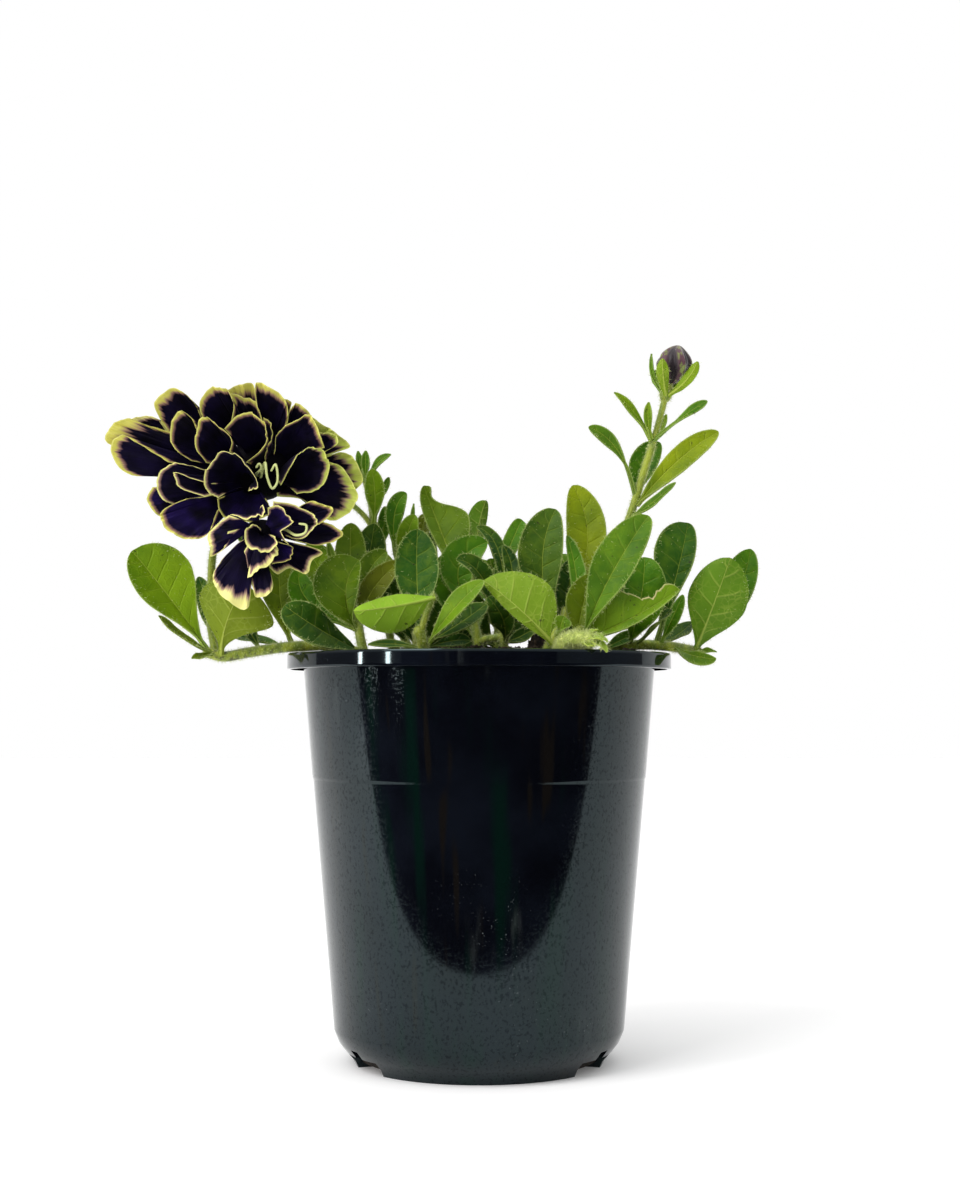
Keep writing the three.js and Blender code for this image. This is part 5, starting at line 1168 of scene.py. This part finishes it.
def pot_profile():
    """Radius and height round the pot. Rings near each corner keep the long walls straight in reflections."""
    under = POT_HEIGHT - RIM_BAND
    wall, shoulder, step, lip = OUTER_CORNER[-1], (60.3, 101.7), (60.6, 102.3), (64.3, 145.6)
    outside = [(0, 0), *OUTER_CORNER, *along(wall, shoulder, [12.8, 14, 40, 70, 97, 100.5, 101.4]),
               shoulder, step, *along(step, lip, [102.7, 104, 108, 125, 144]), lip, (68.6, 145.6),
               (68.6, under), (69.5, under), (69.85, under + 0.2),
               *((RIM_RADIUS, z) for z in (under + 0.6, under + 1, 144, 145.8, 146.2)),
               (69.75, 146.8), (69.2, POT_HEIGHT)]
    inside = [(63.3, POT_HEIGHT), (62.9, 146.5), (59.2, MOULD_LINE_Z), *INNER_CORNER, (0, 1.5)]
    return outside + inside


# %% Lathe
def lathe_tree():
    """Turns a profile mesh, whose points hold a radius and a height, round the upright axis."""
    tree = bpy.data.node_groups.new("lathe", "GeometryNodeTree")
    face = tree.interface
    face.new_socket("Profile", in_out="INPUT", socket_type="NodeSocketGeometry")
    sides = face.new_socket("Sides", in_out="INPUT", socket_type="NodeSocketInt")
    finish = face.new_socket("Finish", in_out="INPUT", socket_type="NodeSocketMaterial")
    face.new_socket("Body", in_out="OUTPUT", socket_type="NodeSocketGeometry")
    nodes, links = tree.nodes, tree.links

    def add(kind, **settings):
        node = nodes.new(kind)
        for name, value in settings.items():
            setattr(node, name, value)
        return node

    given, made = add("NodeGroupInput"), add("NodeGroupOutput")
    size = add("GeometryNodeAttributeDomainSize", component="MESH")
    more = add("ShaderNodeMath", operation="ADD")
    more.inputs[1].default_value = 1
    grid = add("GeometryNodeMeshGrid")
    index = add("GeometryNodeInputIndex")
    along = add("ShaderNodeMath", operation="DIVIDE")
    along_whole = add("ShaderNodeMath", operation="FLOOR")
    around = add("ShaderNodeMath", operation="MODULO")
    spot = add("GeometryNodeInputPosition")
    read = add("GeometryNodeSampleIndex", data_type="FLOAT_VECTOR", domain="POINT")
    split = add("ShaderNodeSeparateXYZ")
    share = add("ShaderNodeMath", operation="DIVIDE")
    angle = add("ShaderNodeMath", operation="MULTIPLY")
    angle.inputs[1].default_value = 2 * math.pi
    across, over = add("ShaderNodeMath", operation="COSINE"), add("ShaderNodeMath", operation="SINE")
    x, y = add("ShaderNodeMath", operation="MULTIPLY"), add("ShaderNodeMath", operation="MULTIPLY")
    place = add("ShaderNodeCombineXYZ")
    move = add("GeometryNodeSetPosition")
    merge = add("GeometryNodeMergeByDistance")
    merge.inputs["Distance"].default_value = 0.00001
    smooth = add("GeometryNodeSetShadeSmooth")
    real = add("GeometryNodeRealizeInstances")
    paint = add("GeometryNodeSetMaterial")
    for start, end in (
            (given.outputs["Profile"], size.inputs[0]), (given.outputs["Sides"], more.inputs[0]),
            (size.outputs["Point Count"], grid.inputs["Vertices X"]),
            (more.outputs[0], grid.inputs["Vertices Y"]),
            (index.outputs[0], along.inputs[0]), (more.outputs[0], along.inputs[1]),
            (along.outputs[0], along_whole.inputs[0]),
            (index.outputs[0], around.inputs[0]), (more.outputs[0], around.inputs[1]),
            (given.outputs["Profile"], read.inputs["Geometry"]), (spot.outputs[0], read.inputs["Value"]),
            (along_whole.outputs[0], read.inputs["Index"]), (read.outputs[0], split.inputs[0]),
            (around.outputs[0], share.inputs[0]), (given.outputs["Sides"], share.inputs[1]),
            (share.outputs[0], angle.inputs[0]), (angle.outputs[0], across.inputs[0]),
            (angle.outputs[0], over.inputs[0]),
            (split.outputs["X"], x.inputs[0]), (across.outputs[0], x.inputs[1]),
            (split.outputs["X"], y.inputs[0]), (over.outputs[0], y.inputs[1]),
            (x.outputs[0], place.inputs["X"]), (y.outputs[0], place.inputs["Y"]),
            (split.outputs["Z"], place.inputs["Z"]),
            (grid.outputs["Mesh"], move.inputs["Geometry"]), (place.outputs[0], move.inputs["Position"]),
            (move.outputs[0], merge.inputs["Geometry"]), (merge.outputs[0], smooth.inputs["Geometry"]),
            (smooth.outputs[0], real.inputs["Geometry"]), (real.outputs[0], paint.inputs["Geometry"]),
            (given.outputs["Finish"], paint.inputs["Material"]), (paint.outputs[0], made.inputs["Body"])):
        links.new(start, end)
    return tree, sides.identifier, finish.identifier


def baked(carrier, name):
    """A plain mesh object of what a carrier object's modifiers make. The carrier goes away."""
    mesh = bpy.data.meshes.new_from_object(carrier.evaluated_get(bpy.context.evaluated_depsgraph_get()))
    mesh.name = name
    carrier_mesh = carrier.data
    bpy.data.objects.remove(carrier)
    bpy.data.meshes.remove(carrier_mesh)
    made = bpy.data.objects.new(name, mesh)
    scene.collection.objects.link(made)
    return made


LATHE, LATHE_SIDES, LATHE_FINISH = lathe_tree()


def turned(name, profile, sides, finish):
    mesh = bpy.data.meshes.new(name + "_profile")
    points = [(r * MM, 0, z * MM) for r, z in profile]
    mesh.from_pydata(points, [(i, i + 1) for i in range(len(points) - 1)], [])
    carrier = bpy.data.objects.new(name + "_carrier", mesh)
    scene.collection.objects.link(carrier)
    modifier = carrier.modifiers.new("lathe", "NODES")
    modifier.node_group = LATHE
    modifier[LATHE_SIDES] = sides
    modifier[LATHE_FINISH] = finish
    return baked(carrier, name)

# %% Pot shell
BOX_FACES = [(3, 2, 1, 0), (4, 5, 6, 7), (0, 1, 5, 4), (1, 2, 6, 5), (2, 3, 7, 6), (3, 0, 4, 7)]
CHANNEL_HEIGHT, CHANNEL_START, CHANNEL_END, CHANNEL_SPREAD = 5, 27, 60, math.tan(math.radians(12.5))


def mould_core(name, outline, angle, low, high):
    """A block from low to high over a flat outline, which is turned round the pot's axis."""
    turn = math.radians(angle - 90)
    cos, sin = math.cos(turn), math.sin(turn)
    flat = [(x * cos - y * sin, x * sin + y * cos) for x, y in outline]
    mesh = bpy.data.meshes.new(name)
    mesh.from_pydata([[v * MM for v in (x, y, z)] for z in (low, high) for x, y in flat], [], BOX_FACES)
    made = bpy.data.objects.new(name, mesh)
    scene.collection.objects.link(made)
    return made


def channel(name, angle, grow, height):
    """A channel under the pot: a wedge that widens outwards, grown by a margin."""
    start = CHANNEL_START - grow
    narrow, broad = start * CHANNEL_SPREAD + grow, CHANNEL_END * CHANNEL_SPREAD + grow
    outline = [(start, -narrow), (CHANNEL_END, -broad), (CHANNEL_END, broad), (start, narrow)]
    return mould_core(name, outline, angle, -1, height)


def drain(name, angle):
    return mould_core(name, [(44, -2.5), (56, -2.5), (56, 2.5), (44, 2.5)], angle, 4.8, 7.8)


def combined(piece, tools, operation):
    """The piece after a boolean with each tool; the tools go away."""
    for tool in tools:
        step = piece.modifiers.new("cut", "BOOLEAN")
        step.operation = operation
        step.solver = "EXACT"
        step.object = tool
    name = piece.name
    piece.name = name + "_carrier"
    made = baked(piece, name)
    for tool in tools:
        bpy.data.objects.remove(tool)
    return made


POT_SIDES = 192
pot = turned("pot_shell", pot_profile(), POT_SIDES, POT_PLASTIC)
envelope = [(0, 0), *OUTER_CORNER, (52.4, 20), (0, 20)]
angles = (-60, 60, 180)
roofs = []
for i, a in enumerate(angles):
    roof = channel(f"roof_{i}", a, WALL, CHANNEL_HEIGHT + WALL)
    foot = turned(f"foot_{i}", envelope, POT_SIDES, POT_PLASTIC)
    roofs.append(combined(roof, [foot], "INTERSECT"))
pot = combined(pot, roofs, "UNION")
channels = [channel(f"channel_{i}", a, 0, CHANNEL_HEIGHT) for i, a in enumerate(angles)]
pot = combined(pot, channels, "DIFFERENCE")
pot = combined(pot, [drain(f"slot_{i}", a) for i, a in enumerate(angles)], "DIFFERENCE")
pot.data.materials.clear()
pot.data.materials.append(POT_PLASTIC)
pot.data.shade_smooth()
pot.data.set_sharp_from_angle(angle=math.radians(32))
seat(pot, "pot", "pot")

# %% [markdown]
# ## Compost
# The compost fills the pot to just under its rim and is slightly mounded. Its surface is broken up
# by noise of two sizes, and loose crumbs and chips of bark are scattered over it by a geometry node
# tree, because there are thousands of them and no two lie the same way.


# %% Compost mound
SOIL_TOP, SOIL_FALL, SOIL_RADIUS, LOOSE_ABOVE = 147.5, 5.5, 62.2, 141


def soil_height(x, y):
    r = np.hypot(x, y)
    mound = SOIL_TOP - SOIL_FALL * (r / SOIL_RADIUS) ** 4
    broad = 0.7 * (np.sin(0.31 * x + 0.17 * y) + np.sin(0.23 * y - 0.29 * x + 1.3))
    fine = 0.5 * np.sin(1.1 * x + 0.6 * y) * np.sin(0.9 * y - 0.4 * x)
    fine = fine + 0.25 * np.sin(2.7 * x) * np.sin(2.3 * y + 1)
    return mound + (broad + fine) * np.clip((SOIL_RADIUS - r) / 4, 0, 1)


CLODS = [
    ([-12, -14, 147.6], [7, 5, 3]), ([21.5, -6, 148], [4, 4.5, 8]),
    ([52, 4, 145], [9, 8, 4.5]), ([54, -12, 144.5], [5, 6, 4.5]),
]


def clod(centre, radii):
    """A rough lump of compost that stands up from the mound."""
    lump = ball_part([0, 0, 0], [1, 1, 1], {"loose": np.ones}, 0)
    x, y, z = lump["points"].T
    rough = (1 + 0.07 * np.sin(5 * x + 4 * z) + 0.06 * np.sin(7 * y - 5 * z + 1)
             + 0.05 * np.sin(11 * x + 9 * y))
    lump["points"] = lump["points"] * rough[:, None] * 0.92 * np.array(radii) + centre
    return lump


def soil_mound():
    sides = 160
    turn = np.linspace(0, 2 * np.pi, sides, endpoint=False)
    points = [[0, 0, 1.8]]
    below = [(20, 1.8), (43, 1.8), (50.3, 13.3), (58.7, MOULD_LINE_Z), (SOIL_RADIUS, 141.5)]
    above = np.linspace(62.0, 1.2, 62)
    for r, z in below:
        points += [[r * np.cos(a), r * np.sin(a), z] for a in turn]
    for r in above:
        x, y = r * np.cos(turn), r * np.sin(turn)
        points += np.stack([x, y, soil_height(x, y)], axis=1).tolist()
    points.append([0, 0, float(soil_height(np.zeros(1), np.zeros(1))[0])])
    mound = capped_part(np.array(points, float), len(below) + len(above), sides, {}, 0)
    mound["facts"] = {"loose": np.array([p[2] > LOOSE_ABOVE for p in points], float)}
    lumps = [clod(centre, radii) for centre, radii in CLODS]
    return piece_from("soil_mound", [mound, *lumps], [COMPOST], sharp_degrees=80)


soil = soil_mound()
seat(soil, "soil", "soil")

# %% [markdown]
# ## Leafy stems, cut stem and blooms
# Each leafy stem becomes one mesh over its solid, and so does each bloom. The cut stem is a pale
# stump that leans over the front rim. A smooth tube would look like a straw, so its points are
# pushed to and fro by sine waves, and five small flaps stand out of its torn end.


# %% Leafy stem pieces
STEM_FACTS = {"tint": lambda n: np.tile(srgb("9DAF3C")[:3], (n, 1)), "long_mm": lambda n: np.full(n, 10.0),
              "half_mm": lambda n: np.full(n, 2.0), "side_mm": lambda n: np.full(n, 2.0),
              "under": np.zeros, "torn": np.zeros, "hairy": np.ones}


def leafy_stem(name, data):
    stems = data["rooted"] + data["stalks"]
    leaves = list(data["leaves"])
    if "holds" in data:
        receptacle, sepals = calyx_parts(BLOOMS[data["holds"]])
        stems = stems + [{"radius": 2.7, "path": receptacle}]
        leaves += sepals
    parts = [leaf_part(one) for one in leaves]
    parts += [stem_part(stem["path"], stem["radius"], STEM_FACTS, 1) for stem in stems]
    return piece_from(name + "_leaves", parts, [LEAF_SKIN, STEM_SKIN])


plants = []
for node, data in LEAFY_STEMS.items():
    plants.append(leafy_stem(node, data))
    seat(plants[-1], "leaf", node)

# %% Cut stem
STUB_PATH = [[30, -49, 136], [28.5, -50.5, 143], [28.5, -52.3, 149], [33, -54.8, 150.5], [37.5, -56.8, 150]]
STUB_TORN = [
    ([36, -56.3, 151.4], [40, -58.2, 151], [43, -59.6, 149.2], 1.5),
    ([36, -56.4, 149.8], [39.8, -58.8, 148.8], [42.6, -60.6, 145.8], 2.1),
    ([35.6, -55.6, 151.6], [38, -56.4, 153], [40, -57.2, 153.4], 0.9),
    ([36.6, -57.6, 150.4], [39.2, -59.6, 150.6], [41.4, -60.9, 149.6], 1.2),
    ([34.6, -57, 149.4], [36.4, -58.8, 148.4], [38.4, -60, 147.9], 1.3),
]


def roughen(tube, depth):
    """Push every point a little to and fro, so that a smooth tube turns knobbly."""
    x, y, z = tube["points"].T
    waves = [np.sin(2.3 * y + 1.9 * z), np.sin(2.1 * z - 1.7 * x), np.sin(2.6 * x + 1.4 * y)]
    fine = [np.sin(6.1 * z + 3 * x), np.sin(5.3 * x - 4 * y), np.sin(6.7 * y + 2 * z)]
    tube["points"] = tube["points"] + depth * (np.stack(waves, 1) + 0.4 * np.stack(fine, 1))
    return tube


stub_parts = [roughen(stem_part(STUB_PATH, 2.4, STEM_FACTS, 1, sides=20, rings_per_span=9), 0.22)]
stub_parts += [leaf_part(leaf(*spine, wide, wide, [0.2, -0.6, 1], "torn", widest=0.5, fold=[25, 25]))
               for *spine, wide in STUB_TORN]
stub = piece_from("cut_stem_torn", stub_parts, [LEAF_SKIN, STUB_SKIN])
seat(stub, "stub", "cut_stem")
plants.append(stub)

# %% Bloom pieces
for node, data in BLOOMS.items():
    seat(bloom_piece(node + "_petals", data, [PETAL_VELVET, TRUMPET_SKIN, CURL_SKIN]), "petal", node)

# %% [markdown]
# ## Bud
# The bud is a closed funnel: five petals folded round each other into a twisted, pleated egg. The
# pleats run upwards and lean round it, and they deepen towards the tip.


# %% Bud
def bud_piece():
    base, tip = np.array([68.9, -10.3, 244]), np.array([72.9, -10, 259.3])
    ahead = unit(tip - base)
    across = unit(np.cross(ahead, [0.3, 1, 0.2]))
    over = np.cross(ahead, across)
    length = float(np.linalg.norm(tip - base))
    rings, sides = 44, 96
    turn = np.linspace(0, 2 * np.pi, sides, endpoint=False)
    points, twist, rise = [base], [0.0], [0.0]
    for i in range(1, rings):
        t = i / rings
        radius = 5.6 * math.sin(math.pi * t ** 1.15) ** 0.75 + 1.6 * (1 - t) * t
        phase = 5 * turn + 0.35 * length * t
        pleat = 1 + 0.1 * np.sin(phase) + 0.035 * np.sin(3 * phase + 1.5) + 0.02 * np.sin(23 * turn + 9 * t)
        ring = np.outer(np.cos(turn), across) + np.outer(np.sin(turn), over)
        points += list(base + ahead * length * t + ring * (radius * pleat)[:, None])
        twist += list(phase)
        rise += [t] * sides
    points.append(tip)
    egg = capped_part(np.array(points), rings - 1, sides, {}, 0)
    egg["facts"] = {"twist": np.array(twist + [0.0]), "rise": np.array(rise + [1.0])}
    return piece_from("bud_folded", [egg], [BUD_SKIN], sharp_degrees=80)


bud = bud_piece()
seat(bud, "bud", "bud")

# %% [markdown]
# ## Hairs and crumbs
# Both are scattered in the same way: points are spread over a surface, a tiny form is set on each,
# turned and scaled at random, and the copies are turned into real geometry. Hairs are thin open
# cones that stand off the skin and lean about. Crumbs are chips that lie on the compost.


# %% Scatter tree
def scatter_tree(name, form, tilt_degrees):
    """Copies of a small form over a surface where the named attribute is high."""
    tree = bpy.data.node_groups.new(name, "GeometryNodeTree")
    face = tree.interface
    face.new_socket("Surface", in_out="INPUT", socket_type="NodeSocketGeometry")
    kinds = {"Density": "NodeSocketFloat", "Smallest": "NodeSocketFloat", "Largest": "NodeSocketFloat",
             "Seed": "NodeSocketInt", "Where": "NodeSocketString", "Finish": "NodeSocketMaterial"}
    keys = {label: face.new_socket(label, in_out="INPUT", socket_type=kind).identifier
            for label, kind in kinds.items()}
    face.new_socket("Copies", in_out="OUTPUT", socket_type="NodeSocketGeometry")
    nodes, links = tree.nodes, tree.links
    given, made = nodes.new("NodeGroupInput"), nodes.new("NodeGroupOutput")
    where = nodes.new("GeometryNodeInputNamedAttribute")
    where.data_type = "FLOAT"
    dense = nodes.new("ShaderNodeMath")
    dense.operation = "MULTIPLY"
    spread = nodes.new("GeometryNodeDistributePointsOnFaces")
    lean = nodes.new("FunctionNodeRandomValue")
    lean.data_type = "FLOAT_VECTOR"
    lean.inputs["Min"].default_value = (-math.radians(tilt_degrees), -math.radians(tilt_degrees), 0)
    lean.inputs["Max"].default_value = (math.radians(tilt_degrees), math.radians(tilt_degrees), 2 * math.pi)
    turn = nodes.new("FunctionNodeRotateRotation")
    turn.rotation_space = "LOCAL"
    size = nodes.new("FunctionNodeRandomValue")
    size.data_type = "FLOAT"
    put = nodes.new("GeometryNodeInstanceOnPoints")
    real = nodes.new("GeometryNodeRealizeInstances")
    paint = nodes.new("GeometryNodeSetMaterial")
    shape = form(nodes, links)
    for start, end in (
            (given.outputs["Where"], where.inputs["Name"]), (where.outputs["Attribute"], dense.inputs[0]),
            (given.outputs["Density"], dense.inputs[1]), (given.outputs["Surface"], spread.inputs["Mesh"]),
            (dense.outputs[0], spread.inputs["Density"]), (given.outputs["Seed"], spread.inputs["Seed"]),
            (spread.outputs["Points"], put.inputs["Points"]), (shape, put.inputs["Instance"]),
            (spread.outputs["Rotation"], turn.inputs["Rotation"]),
            (lean.outputs[0], turn.inputs["Rotate By"]),
            (given.outputs["Seed"], lean.inputs["Seed"]), (given.outputs["Seed"], size.inputs["Seed"]),
            (turn.outputs[0], put.inputs["Rotation"]), (given.outputs["Smallest"], size.inputs[2]),
            (given.outputs["Largest"], size.inputs[3]), (size.outputs[1], put.inputs["Scale"]),
            (put.outputs[0], real.inputs["Geometry"]), (real.outputs[0], paint.inputs["Geometry"]),
            (given.outputs["Finish"], paint.inputs["Material"]), (paint.outputs[0], made.inputs["Copies"])):
        links.new(start, end)
    return tree, keys


def hair_form(nodes, _links):
    cone = nodes.new("GeometryNodeMeshCone")
    cone.fill_type = "NONE"
    cone.inputs["Vertices"].default_value = 3
    cone.inputs["Radius Top"].default_value = 0.0
    cone.inputs["Radius Bottom"].default_value = 0.055
    cone.inputs["Depth"].default_value = 1.0
    return cone.outputs["Mesh"]


def chip_form(nodes, links):
    chip = nodes.new("GeometryNodeMeshIcoSphere")
    chip.inputs["Radius"].default_value = 0.5
    chip.inputs["Subdivisions"].default_value = 1
    flat = nodes.new("GeometryNodeTransform")
    flat.inputs["Scale"].default_value = (1.3, 0.7, 0.5)
    links.new(chip.outputs["Mesh"], flat.inputs["Geometry"])
    return flat.outputs["Geometry"]


HAIRS, HAIR_KEYS = scatter_tree("hairs", hair_form, 40)
CHIPS, CHIP_KEYS = scatter_tree("chips", chip_form, 60)


def scattered(name, surface, tree, keys, **values):
    """A plain piece of copies over a surface piece. Sizes are in metres, density is per square metre."""
    carrier = bpy.data.objects.new(name + "_carrier", surface.data.copy())
    scene.collection.objects.link(carrier)
    modifier = carrier.modifiers.new("scatter", "NODES")
    modifier.node_group = tree
    for label, value in values.items():
        modifier[keys[label]] = value
    return baked(carrier, name)


crumbs = scattered("soil_crumbs", soil, CHIPS, CHIP_KEYS, Density=420000.0, Smallest=0.0005, Largest=0.0022,
                   Seed=3, Where="loose", Finish=CRUMB)
seat(crumbs, "soil")
for i, plant in enumerate(plants):
    shaggy = plant is stub
    hairs = scattered(plant.name.rsplit("_", 1)[0] + "_hairs", plant, HAIRS, HAIR_KEYS,
                      Density=9000000.0 if shaggy else 2800000.0, Smallest=0.0006,
                      Largest=0.0019 if shaggy else 0.0014, Seed=20 + i, Where="hairy", Finish=HAIR_SKIN)
    seat(hairs, "stub" if shaggy else "leaf")
